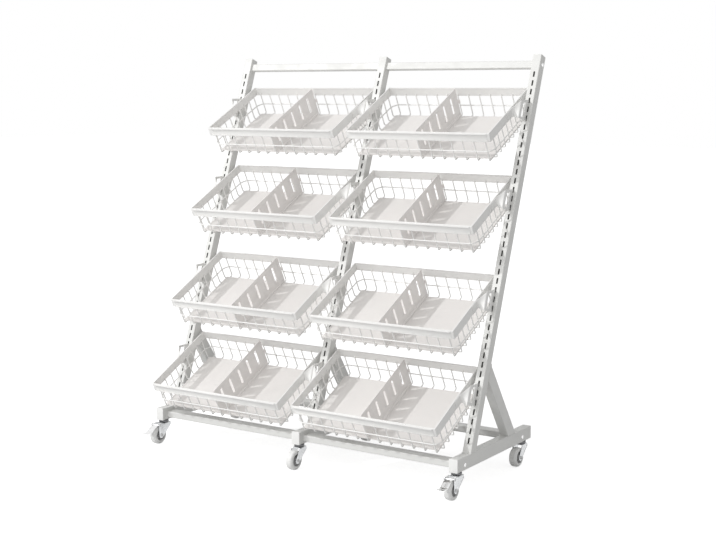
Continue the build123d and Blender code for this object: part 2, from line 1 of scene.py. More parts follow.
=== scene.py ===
"""Produce display stand: the looks of its pieces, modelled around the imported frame."""
import json
from collections import namedtuple
from contextlib import contextmanager
from functools import cache
from math import cos, hypot, pi, radians, sin, tan

import bmesh
import bpy
from bpy.props import FloatProperty, FloatVectorProperty, IntProperty, PointerProperty
from mathutils import Matrix, Vector


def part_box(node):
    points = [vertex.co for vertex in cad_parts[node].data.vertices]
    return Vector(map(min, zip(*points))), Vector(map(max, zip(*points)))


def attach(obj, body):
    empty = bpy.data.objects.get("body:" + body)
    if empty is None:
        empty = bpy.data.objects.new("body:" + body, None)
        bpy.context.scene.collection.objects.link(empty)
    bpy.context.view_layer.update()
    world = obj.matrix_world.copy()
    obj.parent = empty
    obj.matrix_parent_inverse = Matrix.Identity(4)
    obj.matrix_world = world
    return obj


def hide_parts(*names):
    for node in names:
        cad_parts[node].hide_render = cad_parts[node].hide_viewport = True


bl_info = {
    "name": "Produce Display Stand",
    "version": (1, 0, 0),
    "blender": (4, 5, 0),
    "location": "View3D > Sidebar > Stand",
    "description": "Models and finishes a stand of tilted wire baskets on castors",
    "category": "Object",
}

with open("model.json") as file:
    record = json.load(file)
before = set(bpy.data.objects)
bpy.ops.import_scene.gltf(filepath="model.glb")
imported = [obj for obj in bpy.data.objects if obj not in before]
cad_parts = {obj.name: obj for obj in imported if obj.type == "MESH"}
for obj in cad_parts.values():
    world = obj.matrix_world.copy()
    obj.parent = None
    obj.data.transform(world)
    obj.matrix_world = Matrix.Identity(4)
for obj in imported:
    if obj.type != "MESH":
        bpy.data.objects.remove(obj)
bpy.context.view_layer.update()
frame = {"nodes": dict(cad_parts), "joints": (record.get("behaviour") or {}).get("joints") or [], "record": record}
SIDES = ("left", "middle", "right")
TUBE_KINDS = ("upright_", "base_leg_", "rear_brace_", "top_rail_", "front_rail_", "rear_rail_")
TUBE_COUNT = 15
UPRIGHT_LOW, UPRIGHT_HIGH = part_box("upright_right")
LEG_LOW, LEG_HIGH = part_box("base_leg_right")
LEG_WIDTH = LEG_HIGH.x - LEG_LOW.x
BAY_PITCH = UPRIGHT_LOW.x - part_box("upright_middle")[0].x
JOINT_PLACES = {joint["name"]: joint.get("pos_m") for joint in frame["joints"]}
SWIVEL = "castor_swivel_"
CASTORS = [name.removeprefix(SWIVEL) for name in JOINT_PLACES if name.startswith(SWIVEL)]
BRAKED = ("front_left", "front_right")
PRICE_TAG = "price_tag_"

# Numbers of the modelling
UP = Vector((0.0, 0.0, 1.0))
ROD_TURNS = {"X": (0.0, pi / 2, 0.0), "Z": (0.0, 0.0, 0.0)}
CLOSE = 1e-5  # Metres within which two places are the same
MERGE = 1e-6  # Metres within which corners are merged
FACING = 0.9  # Least cosine between a face's normal and the way that it faces
# The fork's cut edges picked by this cosine are painted dark, as painted dark reflections
SHADE_PAINTED_EDGE = 0.5  # Most cosine between a cut edge's normal and that of the fork's sides
HEX = 6
WIRE_SIDES = 10
WHEEL_SIDES = 64
BEAD_SHAPE = (1.0, 1.0, 0.8)
SLOT_END = 0.49  # Share of a slot's width that rounds each of its corners
PIN_HEAD_ROUND = 0.2  # Share of a pin head's height that rounds its edge

# Numbers of the finishes and the camera
NOISE_SPAN = (0.35, 0.65)  # Where most of a noise texture's values lie
COAT_SPREAD = 0.025  # How much a coat's tone varies
COAT_PEEL = 0.0002  # Depth of a coat's orange peel, in metres
PLATE_GRAIN = 0.00005  # Depth of a plating's grain, in metres
PLATE_BUMP = 0.3  # Strength of a plating's grain
SURFACE = {"Color": "Color", "Roughness": "Float", "Height": "Float"}
SENSOR_WIDTH = 36.0  # In millimetres


# Settings that a user would change

def amount(name, description, value, low=0.0):
    return FloatProperty(name=name, description=description, default=value, min=low)


def length(name, description, value):
    return FloatProperty(name=name, description=description, default=value, min=0.0, unit="LENGTH")


def angle(name, description, degrees):
    value = radians(degrees)
    return FloatProperty(name=name, description=description, default=value, subtype="ANGLE")


def count(name, description, value):
    return IntProperty(name=name, description=description, default=value, min=1)


def position(name, description, value):
    return FloatVectorProperty(
        name=name, description=description, default=value, subtype="TRANSLATION", unit="LENGTH"
    )


def colour(name, description, value):
    return FloatVectorProperty(
        name=name, description=description, default=(*value, 1.0), size=4, min=0.0, max=1.0,
        subtype="COLOR",
    )


class BasketSizes(bpy.types.PropertyGroup):
    """A wire basket: x across, y from the rim's front to its back, z up from the rim's top."""

    width: length("Width", "Across the rim", BAY_PITCH - 0.063)
    depth: length("Depth", "From the rim's front to its back", 0.361)
    height: length("Height", "From the rim's top to the underside of the floor", 0.121)
    rim_height: length("Rim height", "Height of the sheet rim", 0.035)
    rim_sheet: length("Rim sheet", "Thickness of the rim", 0.0025)
    rim_lip: length("Rim lip", "Width of the rim's folded top", 0.005)
    rim_round: length("Rim round", "Rounding of the rim's edges", 0.001125)
    wire: length("Wire", "Diameter of the wires", 0.005)
    wire_lap: length("Wire lap", "Overlap of the wires and the rim", 0.008)
    wire_bend: length("Wire bend", "Radius of the bend from wall to floor", 0.006)
    weld_sink: length("Weld sink", "How far crossed wires sink into each other", 0.0012)
    depth_wires: count("Depth wires", "Wires that run from front to back", 13)
    depth_wire_pitch: length("Depth wire pitch", "Between wires from front to back", 0.048)
    cross_wires: count("Cross wires", "Wires that run from side to side", 9)
    cross_wire_pitch: length("Cross wire pitch", "Between wires from side to side", 0.0375)
    ring_drop: length("Ring drop", "From the rim's top to the wire round the walls", 0.077)
    ring_bend: length("Ring bend", "Corner radius of the wire round the walls", 0.034)
    tag_height: length("Tag height", "Height of the price-tag holder", 0.031)
    tag_depth: length("Tag depth", "How far the price-tag holder stands off the rim", 0.005)
    tag_sheet: length("Tag sheet", "Thickness of the price-tag holder", 0.001)
    tag_lip: length("Tag lip", "Width of the lips over the price tag", 0.004)
    tag_round: length("Tag round", "Rounding of the price-tag holder's edges", 0.0004)
    tag_back: length("Tag back", "Thickness of the plate behind the price tag", 0.001)
    tag_end_gap: length("Tag end gap", "From the holder's end to the rim's side", 0.012)


class BracketSizes(bpy.types.PropertyGroup):
    """The sheet bracket that hangs a basket in an upright's slots."""

    upright_depth: length("Upright depth", "From the upright's front to its back", 0.038)
    upright_wall: length("Upright wall", "Thickness of the upright's front wall", 0.002)
    slot_length: length("Slot length", "Of the slots in the upright", 0.022)
    rise: angle("Rise", "Between the rim's depth and the upright's normal", 47.5)
    sheet: length("Sheet", "Thickness of the bracket", 0.002)
    edge_round: length("Edge round", "Rounding of the bracket's edges", 0.0005)
    drop: length("Drop", "From the rim's top to the bracket's top edge", 0.0015)
    reach: length("Reach", "From the upright to the bracket's front edge, along the rim", 0.150)
    bend: length("Bend", "From the upright to the bend off the rim, along the rim", 0.112)
    fold: length("Fold", "From the upright to the bend into the slots, square to it", 0.058)
    web: length("Web", "Sheet between that bend and the window", 0.014)
    window_edge: length("Window edge", "Sheet above and below the window", 0.010)
    top_fall: length("Top fall", "Of the plate's top edge, from the upright to that bend", 0.021)
    low_fall: length("Low fall", "Of the plate's lower edge", 0.006)
    gap: length("Gap", "From the upright to the plate", 0.001)
    edge: length("Edge", "From the plate's edge to a slot's middle or end", 0.002)
    bend_run: length("Bend run", "Of the rounded bends", 0.003)
    hook_drop: length("Hook drop", "From the rim's top to the upper hook, along the upright", 0.024)
    hook_spacing: length("Hook spacing", "From hook to hook, along the upright", 0.070)
    hook_offset: length("Hook offset", "From the upright's centre plane to the hooks", 0.0017)
    hook_neck: length("Hook neck", "Height of a hook's neck", 0.0104)
    hook_lip: length("Hook lip", "How far a hook reaches below its slot", 0.0076)
    hook_sheet: length("Hook sheet", "Thickness of a hook's lip", 0.003)
    clearance: length("Clearance", "Between a hook and its slot", 0.0003)


class SheetSizes(bpy.types.PropertyGroup):
    """The liner and the divider in a basket, in the basket's frame."""

    liner_side_gap: length("Liner side gap", "From the rim's side to the liner", 0.0185)
    liner_front_gap: length("Liner front gap", "From the rim's front to the liner", 0.010)
    liner_back_gap: length("Liner back gap", "From the rim's back to the liner", 0.0305)
    liner_drop: length("Liner drop", "From the rim's top to the liner's top", 0.109)
    liner_sheet: length("Liner sheet", "Thickness of the liner", 0.0012)
    liner_hem: length("Liner hem", "Height of the liner's folded edge", 0.0031)
    liner_corner: length("Liner corner", "Radius of the liner's corners", 0.004)
    liner_round: length("Liner round", "Rounding of the liner's fold", 0.00144)
    divider_sheet: length("Divider sheet", "Thickness of the divider", 0.002)
    divider_rise: length("Divider rise", "Divider's top above the rim's top", 0.002)
    divider_front: length("Divider front", "From the rim's front to the divider's end", 0.008)
    divider_back: length("Divider back", "From the rim's back to the divider's end", 0.014)
    divider_foot: length("Divider foot", "Width of the divider's folded foot", 0.009)
    divider_chamfer: length("Divider chamfer", "Slant of the foot's ends", 0.009)
    divider_lift: length("Divider lift", "Room between the divider's foot and the liner", 0.0003)
    divider_bend: length("Divider bend", "Run of the divider's rounded bend", 0.003)
    divider_round: length("Divider round", "Rounding of the divider's edges", 0.0004)
    slot_length: length("Slot length", "Of the slots in the divider", 0.067)
    slot_width: length("Slot width", "Of the slots in the divider", 0.0125)
    slot_pitch: length("Slot pitch", "From slot to slot", 0.0615)
    slot_drop: length("Slot drop", "From the rim's top to the middle of the slots", 0.0495)
    slot_setback: length("Slot setback", "From the divider's front end to its first slot", 0.0425)
    slots: count("Slots", "Slots in a divider", 5)
    lug_length: length("Lug length", "Of the lug that guides the divider's back end", 0.005)
    lug_height: length("Lug height", "Of the lug", 0.016)
    lug_width: length("Lug width", "Of the lug", 0.008)
    lug_drop: length("Lug drop", "From the rim's top to the middle of the lug", 0.055)


class FrameSizes(bpy.types.PropertyGroup):
    """Small parts of the tube frame: caps, bolts and weld beads."""

    lean: angle("Lean", "Of the uprights, back from the vertical", 20.0)
    brace_angle: angle("Brace angle", "Of the braces, from the vertical", 34.5)
    brace_depth: length("Brace depth", "Of the braces' section", 0.050)
    cap: length("Cap", "Thickness of a tube's end cap", 0.002)
    cap_round: length("Cap round", "Rounding of a cap's outer edge", 0.0012)
    cap_plug: length("Cap plug", "How far a cap reaches into its tube", 0.012)
    cap_inset: length("Cap inset", "From a cap's side to its plug", 0.0022)
    tube_corner: length("Tube corner", "Corner radius of the tubes", 0.003)
    bolt: length("Bolt", "Diameter of the rail bolts", 0.008)
    bolt_head: length("Bolt head", "Diameter of the bolts' heads", 0.014)
    bolt_head_height: length("Bolt head height", "Of the bolts' heads", 0.004)
    bolt_head_round: length("Bolt head round", "Rounding of the bolts' heads", 0.0024)
    bolt_reach: length("Bolt reach", "From a bolt's head to its end", 0.052)
    bolt_socket: length("Bolt socket", "Across the hex socket's corners", 0.0058)
    bolt_chamfer: length("Bolt chamfer", "At the ends of bolts and studs", 0.0008)
    stud_reach: length("Stud reach", "How far a stud reaches into each rail", 0.016)
    bead: length("Bead", "Width of a weld bead", 0.0042)
    bead_step: length("Bead step", "From ripple to ripple of a weld bead", 0.0024)


class CastorSizes(bpy.types.PropertyGroup):
    """A castor about its swivel axis, with the floor at height 0 and the wheel in front."""

    height: length("Height", "From the floor to the leg's underside", 0.095)
    edge_round: length("Edge round", "Rounding of the castor's edges", 0.0006)
    wheel: length("Wheel", "Diameter of the wheel", 0.075)
    tyre_width: length("Tyre width", "Of the tread", 0.031)
    tread_round: length("Tread round", "Radius of the tread's shoulders", 0.009)
    tyre_depth: length("Tyre depth", "From the tread to the core", 0.0135)
    core_step: length("Core step", "From the tyre's side in to the core's rim", 0.0012)
    core_rim: length("Core rim", "Width of the core's rim", 0.002)
    web: length("Web", "Thickness of the core's web", 0.010)
    hub: length("Hub", "Diameter of the hub", 0.024)
    hub_width: length("Hub width", "Length of the hub", 0.033)
    hub_recess: length("Hub recess", "Diameter of the recess in the hub's ends", 0.016)
    hub_recess_depth: length("Hub recess depth", "Of the recess in the hub's ends", 0.0015)
    fork_width: length("Fork width", "Over the fork's sides", 0.039)
    fork_sheet: length("Fork sheet", "Thickness of the fork", 0.0025)
    fork_boss: length("Fork boss", "Radius of the fork's ends", 0.013)
    fork_bend: length("Fork bend", "Radius from the crown to the sides", 0.004)
    fork_ear: length("Fork ear", "Diameter of the fork's ears at the pedal pin", 0.009)
    crown_length: length("Crown length", "Of the fork's crown", 0.042)
    crown_skirt: length("Crown skirt", "Height of the fork's sides at the crown", 0.012)
    crown_drop: length("Crown drop", "From the leg's underside to the crown", 0.011)
    raceway: length("Raceway", "Diameter of the swivel head", 0.040)
    raceway_gap: length("Raceway gap", "Between the swivel head and the crown", 0.0004)
    raceway_round: length("Raceway round", "Rounding of the swivel head's lower edge", 0.00371)
    raceway_edge: length("Raceway edge", "Width of the edge round the swivel head's dish", 0.002)
    raceway_dish: length("Raceway dish", "Depth of the dish in the swivel head's top", 0.0006)
    spindle: length("Spindle", "Diameter of the swivel pin", 0.010)
    spindle_reach: length("Spindle reach", "How far the pin stands out under the crown", 0.0042)
    spindle_edge: length("Spindle edge", "Slant round the pin's riveted end", 0.001)
    spindle_rivet: length("Spindle rivet", "Height of the pin's riveted end", 0.0004)
    stem: length("Stem", "Diameter of the stem in the leg", 0.012)
    stem_length: length("Stem length", "Of the stem in the leg", 0.016)
    nut: length("Nut", "Over the corners of the stem's nut", 0.0219)
    nut_height: length("Nut height", "Of the stem's nut", 0.008)
    nut_lift: length("Nut lift", "From the leg's underside to the nut", 0.002)
    axle: length("Axle", "Diameter of the axle", 0.008)
    axle_head: length("Axle head", "Over the corners of the axle's hex heads", 0.014)
    axle_head_height: length("Axle head height", "Of the axle's heads", 0.004)
    pedal_reach: length("Pedal reach", "From the axle to the pedal's tip", 0.084)
    pedal_height: length("Pedal height", "From the floor to the pedal's tip", 0.055)
    pedal_width: length("Pedal width", "Of the pedal", 0.030)
    pedal_sheet: length("Pedal sheet", "Thickness of the pedal", 0.003)
    pedal_tread: length("Pedal tread", "Length of the part that is pressed", 0.030)
    pedal_bend: length("Pedal bend", "Run of the pedal's rounded bends", 0.005)
    pedal_corner: length("Pedal corner", "Rounding of the corners at the pedal's tip", 0.006)
    pedal_round: length("Pedal round", "Rounding of the pedal's edges", 0.0007)
    pedal_pin: length("Pedal pin", "Diameter of the pedal's pin", 0.005)
    pedal_pin_head: length("Pedal pin head", "Diameter of the pin's heads", 0.010)
    pedal_barrel: length("Pedal barrel", "Diameter of the pedal's barrel", 0.010)
    shoe_gap: length("Shoe gap", "Between the tread and the brake shoe", 0.0043)
    shoe_width: length("Shoe width", "Of the brake shoe", 0.016)
    shoe_length: length("Shoe length", "Of the brake shoe", 0.008)
    shoe_round: length("Shoe round", "Rounding of the brake shoe's edges", 0.0008)
    shoe_angle: angle("Shoe angle", "Of the shoe, in front of the vertical", 45.0)


class StandColours(bpy.types.PropertyGroup):
    """Colours of the stand's finishes."""

    frame: colour("Frame", "Powder coat of the tubes", (0.765, 0.765, 0.745))
    basket: colour("Basket", "Powder coat of the baskets", (0.90, 0.895, 0.88))
    liner: colour("Liner", "Paint of the liners", (0.875, 0.85, 0.83))
    divider: colour("Divider", "Paint of the dividers", (0.95, 0.92, 0.90))
    cap: colour("Cap", "Plastic of the end caps", (0.87, 0.87, 0.855))
    tyre: colour("Tyre", "Rubber of the tyres", (0.91, 0.91, 0.90))
    core: colour("Core", "Plastic of the wheels' cores", (0.55, 0.55, 0.55))
    zinc: colour("Zinc", "Plating of the forks", (0.66, 0.67, 0.68))
    chrome: colour("Chrome", "Plating of the pedals and bolts", (0.90, 0.90, 0.90))
    # Steel: a dark grey that paints shade and dark reflections onto zinc-plated castor parts, the swivel heads
    # under the legs and the forks' cut edges
    steel: colour("Steel", "Dark steel of swivel heads and cut edges", (0.16, 0.16, 0.165))
    grime: colour("Grime", "Dust and rub marks", (0.45, 0.44, 0.42))
    floor: colour("Floor", "Studio floor", (0.60, 0.60, 0.60))


class StageSettings(bpy.types.PropertyGroup):
    """Camera, lamps and floor."""

    camera_place: position("Camera place", "Where the camera stands", (2.8821, -4.2444, 1.4272))
    heading: angle("Heading", "Camera's turn to the left of the stand's depth", 33.2736)
    pitch: angle("Pitch", "Camera's look below the horizon", 7.644)
    roll: angle("Roll", "Camera's roll", 0.1067)
    lens: amount("Lens", "Focal length in millimetres", 65.898, low=1.0)
    key: amount("Key", "Strength of the sun lamp", 1.0)
    key_from: position("Key from", "Towards the sun lamp, from the stand", (-0.605, -0.570, 0.555))
    key_spread: angle("Key spread", "Softness of the sun lamp's shadows", 1.2)
    fill: amount("Fill", "Power of the wide lamp", 128.0)
    fill_place: position("Fill place", "Where the wide lamp stands", (-1.2, -5.3, 3.0))
    fill_aim: position("Fill aim", "Where the wide lamp points", (0.0, 0.0, 0.8))
    fill_width: length("Fill width", "Of the wide lamp", 5.0)
    fill_height: length("Fill height", "Of the wide lamp", 3.0)
    surround: amount("Surround", "Strength of the light all round", 0.535)
    floor_lift: amount("Floor lift", "Glow that brings the floor to white for the camera", 0.74)
    floor_size: length("Floor size", "Side of the studio floor", 60.0)


# Modelling tools

def use(obj):
    """Make an object the only selected one, and the active one."""
    bpy.ops.object.select_all(action="DESELECT")
    obj.select_set(True)
    bpy.context.view_layer.objects.active = obj


@contextmanager
def editing(obj):
    """Edit mode on one object."""
    use(obj)
    bpy.ops.object.mode_set(mode="EDIT")
    yield
    bpy.ops.object.mode_set(mode="OBJECT")


def add(name, primitive, scale=(1.0, 1.0, 1.0), **settings):
    """Add a primitive with nothing else selected, and move its place into its mesh."""
    bpy.ops.object.select_all(action="DESELECT")
    getattr(bpy.ops.mesh, f"primitive_{primitive}_add")(**settings)
    obj = bpy.context.object
    obj.name, obj.scale = name, scale
    bpy.ops.object.transform_apply(location=True, rotation=True, scale=True)
    return obj


def add_box(name, low, high):
    low, high = Vector(low), Vector(high)
    return add(name, "cube", scale=high - low, size=1.0, location=(low + high) / 2)


def add_rod(name, diameter, long, centre, axis="X", sides=32):
    return add(
        name, "cylinder", vertices=sides, radius=diameter / 2, depth=long, location=centre,
        rotation=ROD_TURNS[axis],
    )


def add_sheet(name, corner, along, up):
    """A flat sheet from a corner and its two sides."""
    sheet = add(name, "plane", size=1.0)
    corner, along, up = Vector(corner), Vector(along), Vector(up)
    sides = Matrix((along, up, along.cross(up).normalized())).transposed()
    sheet.data.transform(Matrix.Translation(corner + (along + up) / 2) @ sides.to_4x4())
    return sheet


def middle(edge):
    return (edge.verts[0].co + edge.verts[1].co) / 2


def near(a, b):
    return abs(a - b) < CLOSE


def at(**place):
    """A test whether an edge's middle has these coordinates."""
    return lambda edge: all(near(getattr(middle(edge), axis), value) for axis, value in place.items())


def facing(**ways):
    """A test whether a face points this way, such as z=-1 for down."""
    return lambda face: all(getattr(face.normal, axis) * way > FACING for axis, way in ways.items())


def pick(kind, test):
    """Select the faces, edges or corners of the edited mesh that pass a test."""
    bpy.ops.mesh.select_mode(type=kind)
    bpy.ops.mesh.select_all(action="DESELECT")
    mesh = bpy.context.edit_object.data
    grid = bmesh.from_edit_mesh(mesh)
    items = {"FACE": grid.faces, "EDGE": grid.edges, "VERT": grid.verts}[kind]
    found = [item for item in items if test(item)]
    if not found:
        raise RuntimeError(f"nothing to select on {bpy.context.edit_object.name}")
    for item in found:
        item.select_set(True)
    bmesh.update_edit_mesh(mesh)


def push(x=0.0, y=0.0, z=0.0):
    """Extrude the selection by a move."""
    bpy.ops.mesh.extrude_region_move(TRANSFORM_OT_translate={"value": (x, y, z)})


def turn(centre, axis, steps=5):
    """Spin the selected ring a right-handed quarter turn; the operator counts the other way."""
    bpy.ops.mesh.spin(steps=steps, angle=-pi / 2, center=centre, axis=axis)


def cut_faces(test, point, normal):
    """Cut the faces of the edited mesh that pass a test with a plane."""
    pick("FACE", test)
    bpy.ops.mesh.bisect(plane_co=point, plane_no=normal)


def drop_faces(test):
    """Delete the faces of the edited mesh that pass a test."""
    pick("FACE", test)
    bpy.ops.mesh.delete(type="FACE")


def round_edges(test, width, segments):
    """Bevel the edges of the edited mesh that pass a test."""
    pick("EDGE", test)
    bpy.ops.mesh.bevel(offset=width, segments=segments, affect="EDGES")


def step_faces(test, inset, lift):
    """Inset the faces of the edited mesh that pass a test, and lift what is inside."""
    pick("FACE", test)
    bpy.ops.mesh.inset(thickness=inset)
    bpy.ops.transform.translate(value=(0, 0, lift))


def apply(obj, kind, **settings):
    use(obj)
    modifier = obj.modifiers.new(kind.lower(), kind)
    for name, value in settings.items():
        setattr(modifier, name, value)
    bpy.ops.object.modifier_apply(modifier=modifier.name)


def soften(obj, width, segments=2, limit=40.0):
    """Round the edges that are sharper than a limit in degrees."""
    sharp = radians(limit)
    apply(obj, "BEVEL", width=width, segments=segments, limit_method="ANGLE", angle_limit=sharp)


def thicken(obj, sheet, offset=0.0):
    apply(obj, "SOLIDIFY", thickness=sheet, offset=offset, use_even_offset=True)


def repeat(obj, copies, step):
    apply(
        obj, "ARRAY", count=copies, use_relative_offset=False, use_constant_offset=True,
        constant_offset_displace=step,
    )


def tidy(obj):
    """Merge doubles and turn the faces outwards."""
    with editing(obj):
        bpy.ops.mesh.select_all(action="SELECT")
        bpy.ops.mesh.remove_doubles(threshold=MERGE)
        bpy.ops.mesh.normals_make_consistent(inside=False)


def join(name, *pieces):
    use(pieces[0])
    for piece in pieces[1:]:
        piece.select_set(True)
    bpy.ops.object.join()
    pieces[0].name = name
    return pieces[0]


def paint(obj, *materials):
    obj.data.materials.clear()
    for material in materials:
        obj.data.materials.append(material)


def shade(obj, *materials, limit=35.0):
    """Shade an object smooth up to a limit in degrees, and paint it if materials are given."""
    use(obj)
    bpy.ops.object.shade_smooth_by_angle(angle=radians(limit))
    if materials:
        paint(obj, *materials)


def place_copy(model, name, matrix):
    """Copy a model, with a mesh of its own, to its place."""
    copy = model.copy()
    copy.data = model.data.copy()
    copy.name = copy.data.name = name
    bpy.context.collection.objects.link(copy)
    copy.data.transform(matrix)
    return copy


def mount(piece, body, slot, *nodes):
    """Let a piece ride on a body, in place of CAD nodes; the finish slot is not used."""
    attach(piece, body)
    if nodes:
        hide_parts(*nodes)


def discard(*models):
    for model in models:
        bpy.data.objects.remove(model)


def mount_copies(model, label, body, slot, node, places):
    """Mount a copy of a model at each named place, and drop the model."""
    for name, matrix in places:
        copy = place_copy(model, f"{label}_{name}", matrix)
        mount(copy, f"{body}_{name}", slot, f"{node}_{name}")
    discard(model)


def centre_of(node):
    low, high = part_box(node)
    return (low + high) / 2


def basket_places():
    """Name and place of each basket, from the middle of its price-tag holder."""
    sizes = bpy.context.scene.stand_basket
    across = Vector((1.0, 0.0, 0.0))
    for tag in frame["record"]["mounts"]:
        if tag["name"].startswith(PRICE_TAG):
            depth = -Vector(tag["axis"])
            up = across.cross(depth)
            origin = Vector(tag["pos_m"]) + depth * sizes.tag_back + up * sizes.rim_height / 2
            turned = Matrix((across, depth, up)).transposed().to_4x4()
            yield tag["name"].removeprefix(PRICE_TAG), Matrix.Translation(origin) @ turned


# Finishes

def add_node(tree, kind, inputs=None, **settings):
    """Add a node; an input's value is a number, a colour or another node's socket."""
    made = tree.nodes.new(kind)
    for name, value in settings.items():
        setattr(made, name, value)
    for name, value in (inputs or {}).items():
        if isinstance(value, bpy.types.NodeSocket):
            tree.links.new(value, made.inputs[name])
        else:
            made.inputs[name].default_value = value
    return made


def add_noise(tree, vector, scale, detail):
    inputs = {"Vector": vector, "Scale": scale, "Detail": detail}
    return add_node(tree, "ShaderNodeTexNoise", inputs).outputs["Fac"]


def add_math(tree, operation, first, second):
    return add_node(tree, "ShaderNodeMath", {0: first, 1: second}, operation=operation).outputs[0]


def remap(tree, value, span, low, high):
    """Bring a value from a span to another, from low to high."""
    inputs = {"Value": value, "From Min": span[0], "From Max": span[1], "To Min": low, "To Max": high}
    return add_node(tree, "ShaderNodeMapRange", inputs).outputs["Result"]


def change_tone(tree, tint, tone):
    return add_node(tree, "ShaderNodeHueSaturation", {"Value": tone, "Color": tint}).outputs["Color"]


def begin_group(name, inputs, outputs):
    """A shader node group with named sockets; gives the group and its inputs."""
    group = bpy.data.node_groups.new(name, "ShaderNodeTree")
    for way, sockets in (("INPUT", inputs), ("OUTPUT", outputs)):
        for label, kind in sockets.items():
            group.interface.new_socket(label, in_out=way, socket_type="NodeSocket" + kind)
    return group, group.nodes.new("NodeGroupInput").outputs


def end_group(group, *values):
    """Put values out of a group, in the order of its outputs."""
    for value, end in zip(values, group.nodes.new("NodeGroupOutput").inputs):
        group.links.new(value, end)
    return group


@cache
def coat_grain():
    """Sprayed paint: broad changes of tone and gloss, and a fine orange peel for the bump."""
    inputs = {
        "Vector": "Vector", "Color": "Color", "Spread": "Float", "Gloss Low": "Float",
        "Gloss High": "Float", "Grain": "Float",
    }
    group, given = begin_group("coat_grain", inputs, SURFACE)
    broad = add_noise(group, given["Vector"], scale=4.0, detail=4.0)
    darkest = add_math(group, "SUBTRACT", 1.0, given["Spread"])
    tone = remap(group, broad, NOISE_SPAN, darkest, 1.0)
    patches = add_noise(group, given["Vector"], scale=23.0, detail=3.0)
    gloss = remap(group, patches, NOISE_SPAN, given["Gloss Low"], given["Gloss High"])
    peel = add_noise(group, given["Vector"], scale=given["Grain"], detail=1.5)
    return end_group(group, change_tone(group, given["Color"], tone), gloss, peel)


@cache
def rub_marks():
    """Faint marks where cartons and hands slide along: long thin streaks in patches."""
    inputs = {"Vector": "Vector", "Amount": "Float"}
    group, given = begin_group("rub_marks", inputs, {"Mask": "Float"})
    lengthwise = {"Vector": given["Vector"], "Scale": (6.0, 60.0, 90.0)}
    stretched = add_node(group, "ShaderNodeMapping", lengthwise).outputs[0]
    lines = add_noise(group, stretched, scale=3.0, detail=3.0)
    areas = add_noise(group, given["Vector"], scale=9.0, detail=2.0)
    streaks = remap(group, lines, (0.60, 0.72), 0.0, 1.0)
    patches = remap(group, areas, (0.52, 0.68), 0.0, 1.0)
    both = add_math(group, "MULTIPLY", streaks, patches)
    return end_group(group, add_math(group, "MULTIPLY", both, given["Amount"]))


@cache
def zinc_bloom():
    """Plated steel: small crystals of slightly different tone, with dull and bright patches."""
    inputs = {"Vector": "Vector", "Color": "Color", "Gloss Low": "Float", "Gloss High": "Float"}
    group, given = begin_group("zinc_bloom", inputs, SURFACE)
    pattern = {"Vector": given["Vector"], "Scale": 420.0}
    crystals = add_node(group, "ShaderNodeTexVoronoi", pattern).outputs["Color"]
    share = add_node(group, "ShaderNodeSeparateColor", {"Color": crystals}).outputs[0]
    tone = remap(group, share, (0.0, 1.0), 0.86, 1.08)
    haze = add_noise(group, given["Vector"], scale=70.0, detail=4.0)
    gloss = remap(group, haze, NOISE_SPAN, given["Gloss Low"], given["Gloss High"])
    grain = add_noise(group, given["Vector"], scale=1500.0, detail=2.0)
    return end_group(group, change_tone(group, given["Color"], tone), gloss, grain)


Coat = namedtuple("Coat", "label gloss_low gloss_high grain peel rubs")
COATS = {
    "frame": Coat("frame_coat", 0.34, 0.46, grain=480.0, peel=0.5, rubs=0.10),
    "basket": Coat("basket_coat", 0.36, 0.50, grain=620.0, peel=0.45, rubs=0.08),
    "liner": Coat("liner_coat", 0.40, 0.55, grain=560.0, peel=0.5, rubs=0.16),
    "divider": Coat("divider_coat", 0.40, 0.52, grain=560.0, peel=0.5, rubs=0.12),
    "cap": Coat("cap_plastic", 0.42, 0.52, grain=1400.0, peel=0.25, rubs=0.06),
    "core": Coat("core_plastic", 0.38, 0.50, grain=1100.0, peel=0.3, rubs=0.20),
    "tyre": Coat("tyre_rubber", 0.55, 0.70, grain=900.0, peel=0.4, rubs=0.30),
}
Plate = namedtuple("Plate", "label gloss_low gloss_high")
PLATES = {
    "zinc": Plate("zinc_plate", 0.16, 0.34),
    "chrome": Plate("chrome_plate", 0.10, 0.20),
    # steel: a dark copy of the plating, used as painted shade and painted dark reflections on zinc parts
    "steel": Plate("dark_steel", 0.28, 0.45),
}


def begin_material(name):
    material = bpy.data.materials.new(name)
    material.use_nodes = True
    tree = material.node_tree
    return material, tree, tree.nodes["Principled BSDF"]


def add_surface(tree, group, base, kind, **inputs):
    """Place a surface group, with its pattern on Object coordinates; gives that vector too."""
    vector = add_node(tree, "ShaderNodeTexCoord").outputs["Object"]
    given = {
        "Vector": vector, "Color": base, "Gloss Low": kind.gloss_low, "Gloss High": kind.gloss_high,
        **inputs,
    }
    return vector, add_node(tree, "ShaderNodeGroup", given, node_tree=group).outputs


def link_surface(tree, shader, tint, surface, distance, strength):
    """Feed a shader's colour, roughness and bump."""
    bumps = {"Height": surface["Height"], "Distance": distance, "Strength": strength}
    bump = add_node(tree, "ShaderNodeBump", bumps)
    tree.links.new(tint, shader.inputs["Base Color"])
    tree.links.new(surface["Roughness"], shader.inputs["Roughness"])
    tree.links.new(bump.outputs["Normal"], shader.inputs["Normal"])


def painted(coat, base, grime):
    material, tree, shader = begin_material(coat.label)
    grain = {"Spread": COAT_SPREAD, "Grain": coat.grain}
    vector, surface = add_surface(tree, coat_grain(), base, coat, **grain)
    rubs = {"Vector": vector, "Amount": coat.rubs}
    mask = add_node(tree, "ShaderNodeGroup", rubs, node_tree=rub_marks()).outputs["Mask"]
    shares = {0: mask, 6: surface["Color"], 7: grime}
    marked = add_node(tree, "ShaderNodeMix", shares, data_type="RGBA").outputs[2]
    link_surface(tree, shader, marked, surface, COAT_PEEL, coat.peel)
    return material


